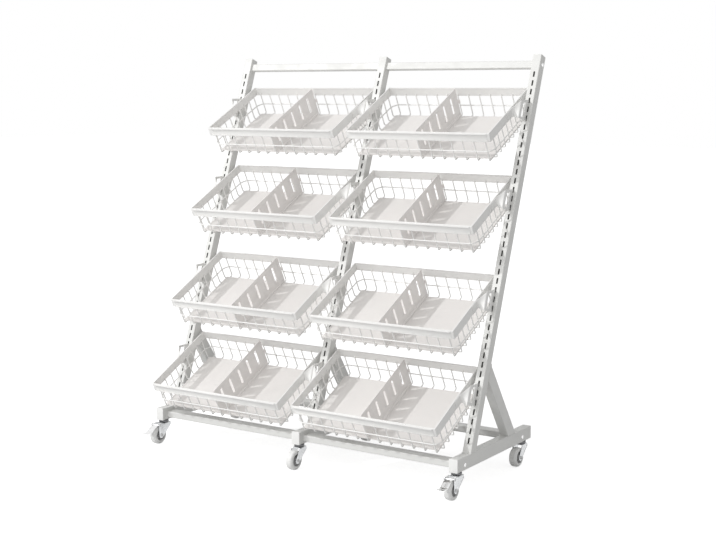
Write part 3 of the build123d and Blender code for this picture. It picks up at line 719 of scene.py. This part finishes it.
def plated(plate, base):
    material, tree, shader = begin_material(plate.label)
    _, surface = add_surface(tree, zinc_bloom(), base, plate)
    shader.inputs["Metallic"].default_value = 1.0
    link_surface(tree, shader, surface["Color"], surface, PLATE_GRAIN, PLATE_BUMP)
    return material


@cache
def finish(name):
    """A material of the stand by name, made when it is first asked for."""
    colours = bpy.context.scene.stand_colours
    base = getattr(colours, name)
    return painted(COATS[name], base, colours.grime) if name in COATS else plated(PLATES[name], base)


# Frame

class STAND_OT_tubes(bpy.types.Operator):
    """Coat the uprights, legs, braces and rails"""

    bl_idname = "stand.tubes"
    bl_label = "Coat Frame Tubes"

    def execute(self, context):
        tubes = [obj for name, obj in frame["nodes"].items() if name.startswith(TUBE_KINDS)]
        if len(tubes) != TUBE_COUNT:
            raise RuntimeError(f"the frame has {len(tubes)} tubes")
        for tube in tubes:
            paint(tube, finish("frame"))
        return {"FINISHED"}


def lay_bead(sizes, start, end):
    """A weld bead from one point to another, as a row of flattened balls."""
    start, run = Vector(start), Vector(end) - Vector(start)
    ripples = max(2, round(run.length / sizes.bead_step))
    radius = sizes.bead / 2
    bead = add("bead", "uv_sphere", BEAD_SHAPE, segments=8, ring_count=5, radius=radius)
    bead.data.transform(run.to_track_quat("X", "Z").to_matrix().to_4x4())
    bead.data.transform(Matrix.Translation(start))
    repeat(bead, ripples, run / (ripples - 1))
    return bead


class STAND_OT_weld_beads(bpy.types.Operator):
    """Lay the weld beads where uprights, braces and legs meet"""

    bl_idname = "stand.weld_beads"
    bl_label = "Lay Weld Beads"

    def execute(self, context):
        sizes = context.scene.stand_frame
        half, top = LEG_WIDTH / 2, LEG_HIGH.z
        lean, spread = tan(sizes.lean), tan(sizes.lean) + tan(sizes.brace_angle)
        foot = UPRIGHT_LOW.y
        back_face = foot + context.scene.stand_bracket.upright_depth / cos(sizes.lean)
        brace_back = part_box("rear_brace_right")[1].y
        brace_front = brace_back - sizes.brace_depth / cos(sizes.brace_angle)
        joints = [(y - back_face) / spread for y in (brace_front, brace_back)]
        lines = (
            ((foot, top), (back_face, top)),
            ((brace_front, top), (brace_back, top)),
            [(back_face + rise * lean, top + rise) for rise in joints],
        )
        beads = []
        for edge in (-half, half):
            for start, end in lines:
                beads.append(lay_bead(sizes, (edge, *start), (edge, *end)))
        inner = half - sizes.tube_corner
        for y in (foot, back_face, brace_front, brace_back):
            beads.append(lay_bead(sizes, (-inner, y, top), (inner, y, top)))
        model = join("beads", *beads)
        shade(model, finish("frame"), limit=60.0)
        for side in SIDES:
            place = Matrix.Translation((centre_of(f"upright_{side}").x, 0, 0))
            mount(place_copy(model, f"weld_beads_{side}", place), "frame", "frame_paint")
        discard(model)
        return {"FINISHED"}


def model_cap(sizes, width, depth):
    """A tube's end cap, lying on the tube's end at height 0, with z pointing out."""
    cap = add_box("cap", (-width / 2, -depth / 2, 0), (width / 2, depth / 2, sizes.cap))
    with editing(cap):
        round_edges(at(z=sizes.cap / 2), sizes.tube_corner, segments=4)
        pick("FACE", facing(z=-1))
        bpy.ops.mesh.inset(thickness=sizes.cap_inset)
        push(z=-sizes.cap_plug)
        round_edges(at(z=sizes.cap), sizes.cap_round, segments=3)
    shade(cap, finish("cap"))
    return cap


class STAND_OT_end_caps(bpy.types.Operator):
    """Model the plastic caps in the tubes' open ends"""

    bl_idname = "stand.end_caps"
    bl_label = "Model End Caps"

    def execute(self, context):
        sizes = context.scene.stand_frame
        lean, deep = sizes.lean, context.scene.stand_bracket.upright_depth
        top_cap = model_cap(sizes, LEG_WIDTH, deep)
        leg_cap = model_cap(sizes, LEG_WIDTH, LEG_HIGH.z - LEG_LOW.z)
        rise = UPRIGHT_HIGH.z - LEG_HIGH.z
        top_y = UPRIGHT_LOW.y + rise * tan(lean) + deep / 2 * cos(lean)
        top_z = UPRIGHT_HIGH.z - deep / 2 * sin(lean)
        caps = []
        for side in SIDES:
            low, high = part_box(f"base_leg_{side}")
            x, _, level = (low + high) / 2
            spots = (
                (top_cap, (x, top_y, top_z), -lean),
                (leg_cap, (x, low.y, level), pi / 2),
                (leg_cap, (x, high.y, level), -pi / 2),
            )
            for model, place, tilt in spots:
                matrix = Matrix.Translation(place) @ Matrix.Rotation(tilt, 4, "X")
                caps.append(place_copy(model, "cap", matrix))
        mount(join("plastic_end_caps", *caps), "frame", "cap_plastic", "tube_end_caps")
        discard(top_cap, leg_cap)
        return {"FINISHED"}


def model_shank(sizes, long, centre):
    shank = add_rod("shank", sizes.bolt, long, centre, sides=20)
    soften(shank, sizes.bolt_chamfer)
    return shank


def model_bolt(sizes):
    """A button-head bolt with a hex socket: its head points to +X from the seat at x 0."""
    tall = sizes.bolt_head_height
    head = add_rod("bolt", sizes.bolt_head, tall, (tall / 2, 0, 0))
    with editing(head):
        round_edges(at(x=tall), sizes.bolt_head_round, segments=5)
    socket = add_rod("socket", sizes.bolt_socket, tall, (tall, 0, 0), sides=HEX)
    apply(head, "BOOLEAN", object=socket, operation="DIFFERENCE")
    discard(socket)
    shank = model_shank(sizes, sizes.bolt_reach, (-sizes.bolt_reach / 2, 0, 0))
    return join("bolt", head, shank)


class STAND_OT_rail_bolts(bpy.types.Operator):
    """Model the bolts and studs that hold the rails"""

    bl_idname = "stand.rail_bolts"
    bl_label = "Model Rail Bolts"

    def execute(self, context):
        sizes = context.scene.stand_frame
        model = model_bolt(sizes)
        pieces = []
        for rail in ("top_rail_right", "front_rail_right", "rear_rail_right"):
            _, y, z = centre_of(rail)
            for outward, turned in ((-1, pi), (1, 0.0)):
                seat = Matrix.Translation((outward * LEG_HIGH.x, y, z))
                pieces.append(place_copy(model, "bolt", seat @ Matrix.Rotation(turned, 4, "Z")))
            pieces.append(model_shank(sizes, LEG_WIDTH + 2 * sizes.stud_reach, (0, y, z)))
        bolts = join("button_head_bolts", *pieces)
        shade(bolts, finish("chrome"))
        mount(bolts, "frame", "zinc", "rail_bolts")
        discard(model)
        return {"FINISHED"}


# Baskets

def model_rim(sizes):
    """The sheet rim: four upright sides with a lip folded inwards along the top."""
    half = sizes.width / 2
    rim = add_box("rim", (-half, 0, -sizes.rim_height), (half, sizes.depth, 0))
    with editing(rim):
        drop_faces(facing(z=-1))
        pick("FACE", facing(z=1))
        bpy.ops.mesh.inset(thickness=sizes.rim_lip)
        bpy.ops.mesh.delete(type="FACE")
    thicken(rim, sizes.rim_sheet, -1.0)
    soften(rim, sizes.rim_round, segments=3)
    return rim


def model_tag_holder(sizes):
    """The channel on the front of the rim that a price tag slides into."""
    half = sizes.width / 2 - sizes.tag_end_gap
    sheet = sizes.tag_sheet
    tall = sizes.tag_height - sheet
    low = -(sizes.rim_height + tall) / 2
    holder = add_sheet("tag_holder", (-half, -sheet / 2, low), (2 * half, 0, 0), (0, 0, tall))
    with editing(holder):
        for level, fold in ((low + tall, -1), (low, 1)):
            pick("EDGE", at(y=-sheet / 2, z=level))
            push(y=sheet - sizes.tag_depth)
            push(z=fold * (sizes.tag_lip - sheet / 2))
    tidy(holder)
    thicken(holder, sheet)
    soften(holder, sizes.tag_round)
    return holder


def model_u_wire(sizes, across, reach, low):
    """A wire bent to a U: down one wall, along the floor and up the other wall.

    It starts at across, a point at the top of the wall, and runs along reach at height low.
    """
    top = sizes.wire_lap - sizes.rim_height
    bend = sizes.wire_bend
    start, run = Vector((*across, top)), Vector((*reach, 0.0))
    ahead = run.normalized()
    axis = ahead.cross(UP)
    down = top - low - bend
    wire = add("wire", "circle", vertices=WIRE_SIDES, radius=sizes.wire / 2, location=start)
    with editing(wire):
        bpy.ops.mesh.select_all(action="SELECT")
        push(z=-down)
        turn(start + ahead * bend - UP * down, axis)
        push(*(run - 2 * bend * ahead))
        turn(start + run - ahead * bend - UP * down, axis)
        push(z=down)
        pick("EDGE", at(z=top))
        bpy.ops.mesh.edge_face_add()
    tidy(wire)
    return wire


def model_ring(sizes, inset, level):
    """The wire round the walls, with rounded corners, at a level."""
    bend = sizes.ring_bend
    x, front, back = sizes.width / 2 - inset - bend, inset + bend, sizes.depth - inset - bend
    ring = add(
        "ring", "circle", vertices=WIRE_SIDES, radius=sizes.wire / 2, location=(0, inset, level),
        rotation=ROD_TURNS["X"],
    )
    runs = ((x, 0), (0, back - front), (-2 * x, 0), (0, front - back))
    corners = ((x, front), (x, back), (-x, back), (-x, front))
    with editing(ring):
        bpy.ops.mesh.select_all(action="SELECT")
        for run, corner in zip(runs, corners):
            push(*run)
            turn((*corner, level), UP, steps=8)
        push(x=x)
    tidy(ring)
    return ring


def model_wires(sizes):
    """The basket's wires: U wires from front to back and from side to side, and the ring."""
    half_wire = sizes.wire / 2
    inset = sizes.rim_sheet + half_wire
    low = half_wire - sizes.height
    first = -sizes.depth_wire_pitch * (sizes.depth_wires - 1) / 2
    depth_wires = model_u_wire(sizes, (first, inset), (0, sizes.depth - 2 * inset), low)
    repeat(depth_wires, sizes.depth_wires, (sizes.depth_wire_pitch, 0, 0))
    first = sizes.depth / 2 - sizes.cross_wire_pitch * (sizes.cross_wires - 1) / 2
    upper = low + sizes.wire - sizes.weld_sink
    left = inset - sizes.width / 2
    cross_wires = model_u_wire(sizes, (left, first), (-2 * left, 0), upper)
    repeat(cross_wires, sizes.cross_wires, (0, sizes.cross_wire_pitch, 0))
    ring = model_ring(sizes, inset - sizes.wire + sizes.weld_sink, -sizes.ring_drop)
    return join("wires", depth_wires, cross_wires, ring)


def pierce_plate(sizes, top, low, on_plate):
    """Cut the window in a bracket's plate, between a top and a lower level at the upright."""
    front = sizes.web - sizes.fold
    back = front / 2
    run = sizes.fold - sizes.gap
    edge = sizes.window_edge
    lines = ((-top - edge, sizes.top_fall), (edge - low, sizes.low_fall))
    for place in (front, back):
        cut_faces(on_plate, (0, place, 0), (0, 1, 0))
    for level, fall in lines:
        cut_faces(on_plate, (0, -sizes.gap, level), (0, -fall, run))

    def in_window(face):
        centre = face.calc_center_median()
        high, deep = [level + fall * (centre.y + sizes.gap) / run for level, fall in lines]
        return on_plate(face) and front < centre.y < back and deep < centre.z < high

    drop_faces(in_window)


def draw_hooks(sizes, ends, on_plate):
    """Draw two hooks out of a plate's back edge, through the slots with these lower ends."""
    lip = sizes.upright_wall + sizes.clearance
    lows = [end - sizes.clearance for end in ends]
    necks = [(low - sizes.hook_neck, low) for low in lows]
    for level in (*necks[0], *necks[1]):
        cut_faces(on_plate, (0, 0, -level), (0, 0, 1))

    def on_neck(edge):
        _, y, z = middle(edge)
        return near(y, -sizes.gap) and any(high < -z < low for high, low in necks)

    def under_lip(edge):
        _, y, z = middle(edge)
        return y > lip and any(near(-z, low) for low in lows)

    pick("EDGE", on_neck)
    push(y=sizes.gap + lip)
    push(y=sizes.hook_sheet)
    pick("EDGE", under_lip)
    push(z=-sizes.hook_lip - sizes.clearance)


def model_brackets(basket, sizes):
    """Both hook brackets: a tab on the rim's side, a face out to the slots and a hooked plate.

    They are drawn in the upright's frame: x across, y into it, z up along it from the rim's top.
    """
    meet = basket.depth - sizes.upright_depth / cos(sizes.rise)
    hang = Matrix.Translation((BAY_PITCH / 2, meet, 0)) @ Matrix.Rotation(-sizes.rise, 4, "X")
    drops = (sizes.hook_drop, sizes.hook_drop + sizes.hook_spacing)
    ends = [drop + sizes.slot_length / 2 for drop in drops]
    top, low = sizes.hook_drop - sizes.edge, ends[1] + sizes.edge
    x, tab_x = -sizes.hook_offset, (basket.width + sizes.sheet) / 2
    along = (0, sizes.fold - sizes.gap, 0)
    plate = add_sheet("plate", (x, -sizes.fold, -low), along, (0, 0, low - top))
    with editing(plate):
        for level, fall in ((top, sizes.top_fall), (low, sizes.low_fall)):
            pick("VERT", lambda vert: near(vert.co.y, -sizes.fold) and near(vert.co.z, -level))
            bpy.ops.transform.translate(value=(0, 0, -fall))
    corner = (tab_x, meet - sizes.reach, sizes.drop - basket.rim_height)
    tall = basket.rim_height - 2 * sizes.drop
    tab = add_sheet("tab", corner, (0, sizes.reach - sizes.bend, 0), (0, 0, tall))
    tab.data.transform(hang.inverted())

    def on_plate(face):
        return all(near(vert.co.x, x) for vert in face.verts)

    def on_bend(edge):
        """Whether an edge lies where the sheet leaves the rim or turns into the slots."""
        on_rim = [hang @ vert.co for vert in edge.verts]
        if all(near(place.x, tab_x) and near(place.y, meet - sizes.bend) for place in on_rim):
            return True
        return all(near(vert.co.x, x) and near(vert.co.y, -sizes.fold) for vert in edge.verts)

    bracket = join("bracket", tab, plate)
    with editing(bracket):
        pick("EDGE", on_bend)
        bpy.ops.mesh.subdivide(number_cuts=7)
        pick("EDGE", on_bend)
        bpy.ops.mesh.bridge_edge_loops(number_cuts=5, interpolation="LINEAR")
        round_edges(on_bend, sizes.bend_run, segments=4)
        pierce_plate(sizes, top, low, on_plate)
        draw_hooks(sizes, ends, on_plate)
    tidy(bracket)
    thicken(bracket, sizes.sheet)
    soften(bracket, sizes.edge_round, limit=60.0)
    bracket.data.transform(hang)
    apply(bracket, "MIRROR", use_axis=(True, False, False), use_mirror_merge=False)
    return bracket


class STAND_OT_baskets(bpy.types.Operator):
    """Model one wire basket and hang a copy of it at every tier"""

    bl_idname = "stand.baskets"
    bl_label = "Model Wire Baskets"

    def execute(self, context):
        sizes = context.scene.stand_basket
        parts = [model_rim(sizes), model_tag_holder(sizes), model_wires(sizes)]
        model = join("basket", *parts, model_brackets(sizes, context.scene.stand_bracket))
        shade(model, finish("basket"))
        mount_copies(model, "wire_basket", "basket", "basket_paint", "basket", basket_places())
        return {"FINISHED"}


class STAND_OT_liners(bpy.types.Operator):
    """Model one sheet liner and lay a copy of it in every basket"""

    bl_idname = "stand.liners"
    bl_label = "Model Liners"

    def execute(self, context):
        basket, sizes = context.scene.stand_basket, context.scene.stand_sheets
        half = basket.width / 2 - sizes.liner_side_gap
        top = -sizes.liner_drop
        low = (-half, sizes.liner_front_gap, top - sizes.liner_hem)
        model = add_box("liner", low, (half, basket.depth - sizes.liner_back_gap, top))
        with editing(model):
            drop_faces(facing(z=-1))
            round_edges(at(z=top - sizes.liner_hem / 2), sizes.liner_corner, segments=5)
            round_edges(at(z=top), sizes.liner_round, segments=3)
        thicken(model, sizes.liner_sheet, -1.0)
        shade(model, finish("liner"))
        mount_copies(model, "sheet_liner", "basket", "liner_paint", "liner", basket_places())
        return {"FINISHED"}


def model_divider(basket, sizes):
    """An upright sheet with a folded foot, a row of slots and a lug at its back end."""
    sheet, width = sizes.divider_sheet, sizes.slot_width
    front, back = sizes.divider_front, basket.depth - sizes.divider_back
    low = -sizes.liner_drop + sizes.divider_lift + sheet / 2
    along, up = (0, back - front, 0), (0, 0, sizes.divider_rise - low)
    divider = add_sheet("divider", (0, front, low), along, up)
    with editing(divider):
        pick("EDGE", at(z=low))
        push(x=sizes.divider_foot)
        slant = 1 - 2 * sizes.divider_chamfer / (back - front)
        pivot = (0, (front + back) / 2, low)
        bpy.ops.transform.resize(value=(1, slant, 1), center_override=pivot)
        round_edges(at(x=0, z=low), sizes.divider_bend, segments=4)
    tidy(divider)
    thicken(divider, sheet)
    first, half = front + sizes.slot_setback - width / 2, sizes.slot_length / 2
    low_corner = (-sheet, first, -sizes.slot_drop - half)
    cutter = add_box("cutter", low_corner, (sheet, first + width, half - sizes.slot_drop))
    with editing(cutter):
        round_edges(at(x=0), width * SLOT_END, segments=6)
    repeat(cutter, sizes.slots, (0, sizes.slot_pitch, 0))
    apply(divider, "BOOLEAN", object=cutter, operation="DIFFERENCE", solver="EXACT")
    discard(cutter)
    lug_low = -sizes.lug_drop - sizes.lug_height / 2
    lug_end = back + sizes.lug_length - sheet
    low_corner = (-sheet / 2, back - sizes.lug_length, lug_low)
    lug = add_box("lug", low_corner, (sheet / 2, lug_end, lug_low + sizes.lug_height))
    to_right = facing(x=1)
    with editing(lug):
        pick("FACE", facing(y=1))
        push(y=sheet)
        pick("FACE", lambda face: to_right(face) and face.calc_center_median().y > lug_end)
        push(x=sizes.lug_width - sheet / 2)
    divider = join("divider", divider, lug)
    soften(divider, sizes.divider_round, limit=60.0)
    return divider


class STAND_OT_dividers(bpy.types.Operator):
    """Model one slotted divider and stand a copy of it in every basket"""

    bl_idname = "stand.dividers"
    bl_label = "Model Dividers"

    def execute(self, context):
        model = model_divider(context.scene.stand_basket, context.scene.stand_sheets)
        shade(model, finish("divider"))
        places = basket_places()
        mount_copies(model, "slotted_divider", "divider", "divider_paint", "divider", places)
        return {"FINISHED"}


# Castors

def castor_place(name):
    """Place of a castor's swivel axis on the floor."""
    x, y, _ = JOINT_PLACES[SWIVEL + name]
    return Matrix.Translation((x, y, 0))


def from_swivel(castor, joint):
    """Place of a joint from its castor's swivel axis, in depth and in height."""
    return JOINT_PLACES[joint][1] - JOINT_PLACES[SWIVEL + castor][1], JOINT_PLACES[joint][2]


AXLE = from_swivel("front_left", "wheel_spin_front_left")
PEDAL_PIN = from_swivel("front_left", "brake_press_left")


class STAND_OT_swivel_heads(bpy.types.Operator):
    """Model the castors' stems and swivel heads under the legs"""

    bl_idname = "stand.swivel_heads"
    bl_label = "Model Swivel Heads"

    def execute(self, context):
        sizes = context.scene.stand_castor
        low = sizes.height - sizes.crown_drop + sizes.raceway_gap
        pin_low = low - sizes.fork_sheet - sizes.spindle_reach
        nut_low = sizes.height + sizes.nut_lift
        stem_top = sizes.height + sizes.stem_length

        def upright_rod(name, diameter, bottom, top, sides):
            return add_rod(name, diameter, top - bottom, (0, 0, (bottom + top) / 2), "Z", sides)

        head = upright_rod("head", sizes.raceway, low, sizes.height, sides=40)
        with editing(head):
            round_edges(at(z=low), sizes.raceway_round, segments=4)
            step_faces(facing(z=1), sizes.raceway_edge, -sizes.raceway_dish)
        stem = upright_rod("stem", sizes.stem, sizes.height, stem_top, sides=24)
        nut = upright_rod("nut", sizes.nut, nut_low, nut_low + sizes.nut_height, sides=HEX)
        pin = upright_rod("pin", sizes.spindle, pin_low, low, sides=24)
        with editing(pin):
            step_faces(facing(z=-1), sizes.spindle_edge, -sizes.spindle_rivet)
        model = join("head", head, stem, nut, pin)
        soften(model, sizes.edge_round)
        # These zinc parts are painted in the dark steel: painted shade for the swivel heads that sit under the
        # legs
        shade(model, finish("steel"))
        heads = [place_copy(model, "head", castor_place(name)) for name in CASTORS]
        mount(join("swivel_heads", *heads), "frame", "zinc", "castor_stems")
        discard(model)
        return {"FINISHED"}


def model_cross_pin(wide, place, diameter, head, head_height, sides):
    """A pin across the fork with a head outside each side."""
    pieces = [add_rod("pin", diameter, wide, (0, *place), sides=20)]
    for outward in (-1, 1):
        centre = (outward * (wide + head_height) / 2, *place)
        pieces.append(add_rod("pin_head", head, head_height, centre, sides=sides))
        soften(pieces[-1], head_height * PIN_HEAD_ROUND)
    return join("pin", *pieces)


def model_fork(sizes, braked):
    """The pressed fork: a crown with a side down each side of the wheel, and its pins."""
    wide = sizes.fork_width
    half, long = wide / 2, sizes.crown_length / 2
    crown = sizes.height - sizes.crown_drop
    blocks = [
        add_box("fork", (-half, -long, crown - sizes.crown_skirt), (half, long, crown)),
        add_rod("boss", 2 * sizes.fork_boss, wide, (0, *AXLE), sides=40),
    ]
    if braked:
        blocks.append(add_rod("ear", sizes.fork_ear, wide, (0, *PEDAL_PIN), sides=24))
    fork = join("fork", *blocks)

    def is_open(face):
        return abs(face.normal.x) < FACING and not near(face.calc_center_median().z, crown)

    def on_crown_side(edge):
        return near(abs(middle(edge).x), half) and near(middle(edge).z, crown)

    with editing(fork):
        bpy.ops.mesh.select_all(action="SELECT")
        bpy.ops.mesh.convex_hull()
        drop_faces(is_open)
        round_edges(on_crown_side, sizes.fork_bend, segments=4)
    tidy(fork)
    thicken(fork, sizes.fork_sheet, -1.0)
    soften(fork, sizes.edge_round, limit=50.0)
    # The fork is zinc; its cut edges below the crown get the dark steel, painted dark reflections in place of what
    # the plated edges mirror
    paint(fork, finish("zinc"), finish("steel"))
    for face in fork.data.polygons:
        if abs(face.normal.x) < SHADE_PAINTED_EDGE and face.center.z < crown - sizes.fork_bend:
            face.material_index = 1
    heads = (sizes.axle_head, sizes.axle_head_height)
    pins = [model_cross_pin(wide, AXLE, sizes.axle, *heads, sides=HEX)]
    if braked:
        heads = (sizes.pedal_pin_head, sizes.fork_sheet)
        pins.append(model_cross_pin(wide, PEDAL_PIN, sizes.pedal_pin, *heads, sides=20))
    fork = join("fork", fork, *pins)
    shade(fork)
    return fork


class STAND_OT_forks(bpy.types.Operator):
    """Model the castors' forks and axles"""

    bl_idname = "stand.forks"
    bl_label = "Model Castor Forks"

    def execute(self, context):
        models = {braked: model_fork(context.scene.stand_castor, braked) for braked in (True, False)}
        for name in CASTORS:
            fork = place_copy(models[name in BRAKED], f"fork_{name}", castor_place(name))
            mount(fork, f"castor_fork_{name}", "zinc", f"castor_fork_{name}")
        discard(*models.values())
        return {"FINISHED"}


def model_wheel(sizes):
    """A wheel about its axle along x: a rounded tyre on a moulded core."""
    tread, half = sizes.wheel / 2, sizes.tyre_width / 2
    core, hub = tread - sizes.tyre_depth, sizes.hub / 2
    wheel = add_rod("wheel", sizes.wheel, sizes.tyre_width, (0, 0, 0), sides=WHEEL_SIDES)
    steps = (
        (tread - sizes.tread_round - core, -sizes.core_step),
        (sizes.core_rim, sizes.web / 2 + sizes.core_step - half),
        (core - sizes.core_rim - hub, (sizes.hub_width - sizes.web) / 2),
        (hub - sizes.hub_recess / 2, -sizes.hub_recess_depth),
    )
    with editing(wheel):
        round_edges(lambda edge: near(abs(middle(edge).x), half), sizes.tread_round, segments=7)
        pick("FACE", lambda face: len(face.verts) == WHEEL_SIDES)
        for inset, lift in steps:
            bpy.ops.mesh.inset(thickness=inset, use_individual=True)
            bpy.ops.mesh.extrude_region_shrink_fatten(TRANSFORM_OT_shrink_fatten={"value": lift})
    paint(wheel, finish("tyre"), finish("core"))
    with editing(wheel):
        wheel.active_material_index = 1
        pick("FACE", lambda face: hypot(*face.calc_center_median().yz) < core)
        bpy.ops.object.material_slot_assign()
    soften(wheel, sizes.edge_round, limit=50.0)
    shade(wheel)
    return wheel


class STAND_OT_wheels(bpy.types.Operator):
    """Model one castor wheel and copy it to every fork"""

    bl_idname = "stand.wheels"
    bl_label = "Model Castor Wheels"

    def execute(self, context):
        model = model_wheel(context.scene.stand_castor)
        axles = {name: JOINT_PLACES[f"wheel_spin_{name}"] for name in CASTORS}
        places = [(name, Matrix.Translation(axle)) for name, axle in axles.items()]
        mount_copies(model, "wheel", "castor_wheel", "wheel_plastic", "castor_wheel", places)
        return {"FINISHED"}


def model_pedal(sizes):
    """A brake pedal: a bent strip from its pin over the wheel to the tread, with a shoe under it."""
    axle_y, axle_z = AXLE
    shoe_radius = sizes.wheel / 2 + sizes.shoe_gap
    knee_radius = shoe_radius + 2 * sizes.pedal_sheet
    lean, lift = sin(sizes.shoe_angle), cos(sizes.shoe_angle)
    tip = axle_y - sizes.pedal_reach
    knee = Vector((0, axle_y - knee_radius * lean, axle_z + knee_radius * lift))
    fold = Vector((0, tip + sizes.pedal_tread, sizes.pedal_height))
    start = Vector((0, *PEDAL_PIN))
    across = Vector((sizes.pedal_width, 0, 0))
    pedal = add_sheet("pedal", start - across / 2, across, knee - start)
    with editing(pedal):
        pick("EDGE", at(x=0, y=knee.y, z=knee.z))
        push(*(fold - knee))
        push(y=-sizes.pedal_tread)
        for bend in (knee, fold):
            round_edges(at(x=0, y=bend.y, z=bend.z), sizes.pedal_bend, segments=4)
        pick("VERT", lambda vert: near(vert.co.y, tip))
        bpy.ops.mesh.bevel(offset=sizes.pedal_corner, segments=4, affect="VERTICES")
    tidy(pedal)
    thicken(pedal, sizes.pedal_sheet)
    soften(pedal, sizes.pedal_round, limit=60.0)
    barrel = add_rod("barrel", sizes.pedal_barrel, sizes.pedal_width, start, sides=28)
    soften(barrel, sizes.pedal_round)
    half, long = sizes.shoe_width / 2, sizes.shoe_length / 2
    shoe = add_box("shoe", (-half, -long, 0), (half, long, 2 * sizes.pedal_sheet))
    soften(shoe, sizes.shoe_round)
    foot = Matrix.Translation((0, axle_y - shoe_radius * lean, axle_z + shoe_radius * lift))
    shoe.data.transform(foot @ Matrix.Rotation(sizes.shoe_angle, 4, "X"))
    pedal = join("pedal", pedal, barrel, shoe)
    shade(pedal, finish("chrome"))
    return pedal


class STAND_OT_brake_pedals(bpy.types.Operator):
    """Model one brake pedal and copy it to the outer front castors"""

    bl_idname = "stand.brake_pedals"
    bl_label = "Model Brake Pedals"

    def execute(self, context):
        model = model_pedal(context.scene.stand_castor)
        places = [(name.removeprefix("front_"), castor_place(name)) for name in BRAKED]
        mount_copies(model, "pedal", "brake_pedal", "zinc", "brake_pedal", places)
        return {"FINISHED"}


# Stage

def seen_directly(tree):
    """1 for rays from the camera, from gloss and through glass, and 0 for light on things."""
    path = add_node(tree, "ShaderNodeLightPath").outputs
    first = add_math(tree, "MAXIMUM", path["Is Camera Ray"], path["Is Glossy Ray"])
    return add_math(tree, "MAXIMUM", first, path["Is Transmission Ray"])


def floor_material(colours, stage):
    """A pale floor that reads white to the camera and keeps the stand's shadow."""
    material, tree, shader = begin_material("studio_floor")
    tree.nodes.remove(shader)
    matt = add_node(tree, "ShaderNodeBsdfDiffuse", {"Color": colours.floor})
    lift = remap(tree, seen_directly(tree), (0.0, 1.0), 0.0, stage.floor_lift)
    glow = add_node(tree, "ShaderNodeEmission", {"Strength": lift})
    both = add_node(tree, "ShaderNodeAddShader", {0: matt.outputs[0], 1: glow.outputs[0]})
    tree.links.new(both.outputs[0], tree.nodes["Material Output"].inputs["Surface"])
    return material


def light_world(scene, stage):
    """An even surround that reads white to the camera."""
    world = bpy.data.worlds.new("studio_surround")
    world.use_nodes = True
    tree = world.node_tree
    strength = remap(tree, seen_directly(tree), (0.0, 1.0), stage.surround, 1.0)
    background = tree.nodes["Background"]
    background.inputs["Color"].default_value = (1.0, 1.0, 1.0, 1.0)
    tree.links.new(strength, background.inputs["Strength"])
    scene.world = world


def add_lamp(kind, energy, way, place):
    """A lamp at a place, that shines against the way to it."""
    turned = way.to_track_quat("Z", "Y").to_euler()
    bpy.ops.object.light_add(type=kind, location=place, rotation=turned)
    lamp = bpy.context.object.data
    lamp.energy = energy
    return lamp


def set_camera(scene, stage):
    level = cos(stage.pitch)
    x, y = -sin(stage.heading) * level, cos(stage.heading) * level
    ahead = Vector((x, y, -sin(stage.pitch)))
    looking = ahead.to_track_quat("-Z", "Y").to_matrix() @ Matrix.Rotation(stage.roll, 3, "Z")
    bpy.ops.object.camera_add(location=stage.camera_place, rotation=looking.to_euler())
    camera = bpy.context.object
    camera.name = "photo_camera"
    camera.data.sensor_fit = "HORIZONTAL"
    camera.data.sensor_width = SENSOR_WIDTH
    camera.data.lens = stage.lens
    scene.camera = camera


class STAND_OT_stage(bpy.types.Operator):
    """Set the floor, the lamps and the camera"""

    bl_idname = "stand.stage"
    bl_label = "Set Stage"

    def execute(self, context):
        scene, stage = context.scene, context.scene.stand_stage
        floor = add("studio_floor", "plane", size=stage.floor_size)
        paint(floor, floor_material(scene.stand_colours, stage))
        light_world(scene, stage)
        key = add_lamp("SUN", stage.key, Vector(stage.key_from), (0, 0, 0))
        key.angle = stage.key_spread
        way = Vector(stage.fill_place) - Vector(stage.fill_aim)
        fill = add_lamp("AREA", stage.fill, way, stage.fill_place)
        fill.shape = "RECTANGLE"
        fill.size, fill.size_y = stage.fill_width, stage.fill_height
        set_camera(scene, stage)
        scene.view_settings.view_transform = "Standard"
        return {"FINISHED"}


class STAND_PT_panel(bpy.types.Panel):
    """The stand's operators, in the order in which they are run"""

    bl_label = "Produce Display Stand"
    bl_space_type = "VIEW_3D"
    bl_region_type = "UI"
    bl_category = "Stand"

    def draw(self, context):
        for operator in OPERATORS:
            self.layout.operator(operator.bl_idname)
        for name in SETTINGS:
            settings = getattr(context.scene, name)
            box = self.layout.box()
            for label in settings.bl_rna.properties.keys():
                if label not in ("rna_type", "name"):
                    box.prop(settings, label)


OPERATORS = (
    STAND_OT_tubes,
    STAND_OT_weld_beads,
    STAND_OT_end_caps,
    STAND_OT_rail_bolts,
    STAND_OT_baskets,
    STAND_OT_liners,
    STAND_OT_dividers,
    STAND_OT_swivel_heads,
    STAND_OT_forks,
    STAND_OT_wheels,
    STAND_OT_brake_pedals,
    STAND_OT_stage,
)
SETTINGS = {
    "stand_basket": BasketSizes,
    "stand_bracket": BracketSizes,
    "stand_sheets": SheetSizes,
    "stand_frame": FrameSizes,
    "stand_castor": CastorSizes,
    "stand_colours": StandColours,
    "stand_stage": StageSettings,
}
CLASSES = (*SETTINGS.values(), *OPERATORS, STAND_PT_panel)


def register():
    for item in CLASSES:
        bpy.utils.register_class(item)
    for name, group in SETTINGS.items():
        setattr(bpy.types.Scene, name, PointerProperty(type=group))


def unregister():
    for name in SETTINGS:
        delattr(bpy.types.Scene, name)
    for item in reversed(CLASSES):
        bpy.utils.unregister_class(item)


def main():
    register()
    for operator in OPERATORS:
        group, name = operator.bl_idname.split(".")
        getattr(getattr(bpy.ops, group), name)()


if __name__ == "__main__":
    main()
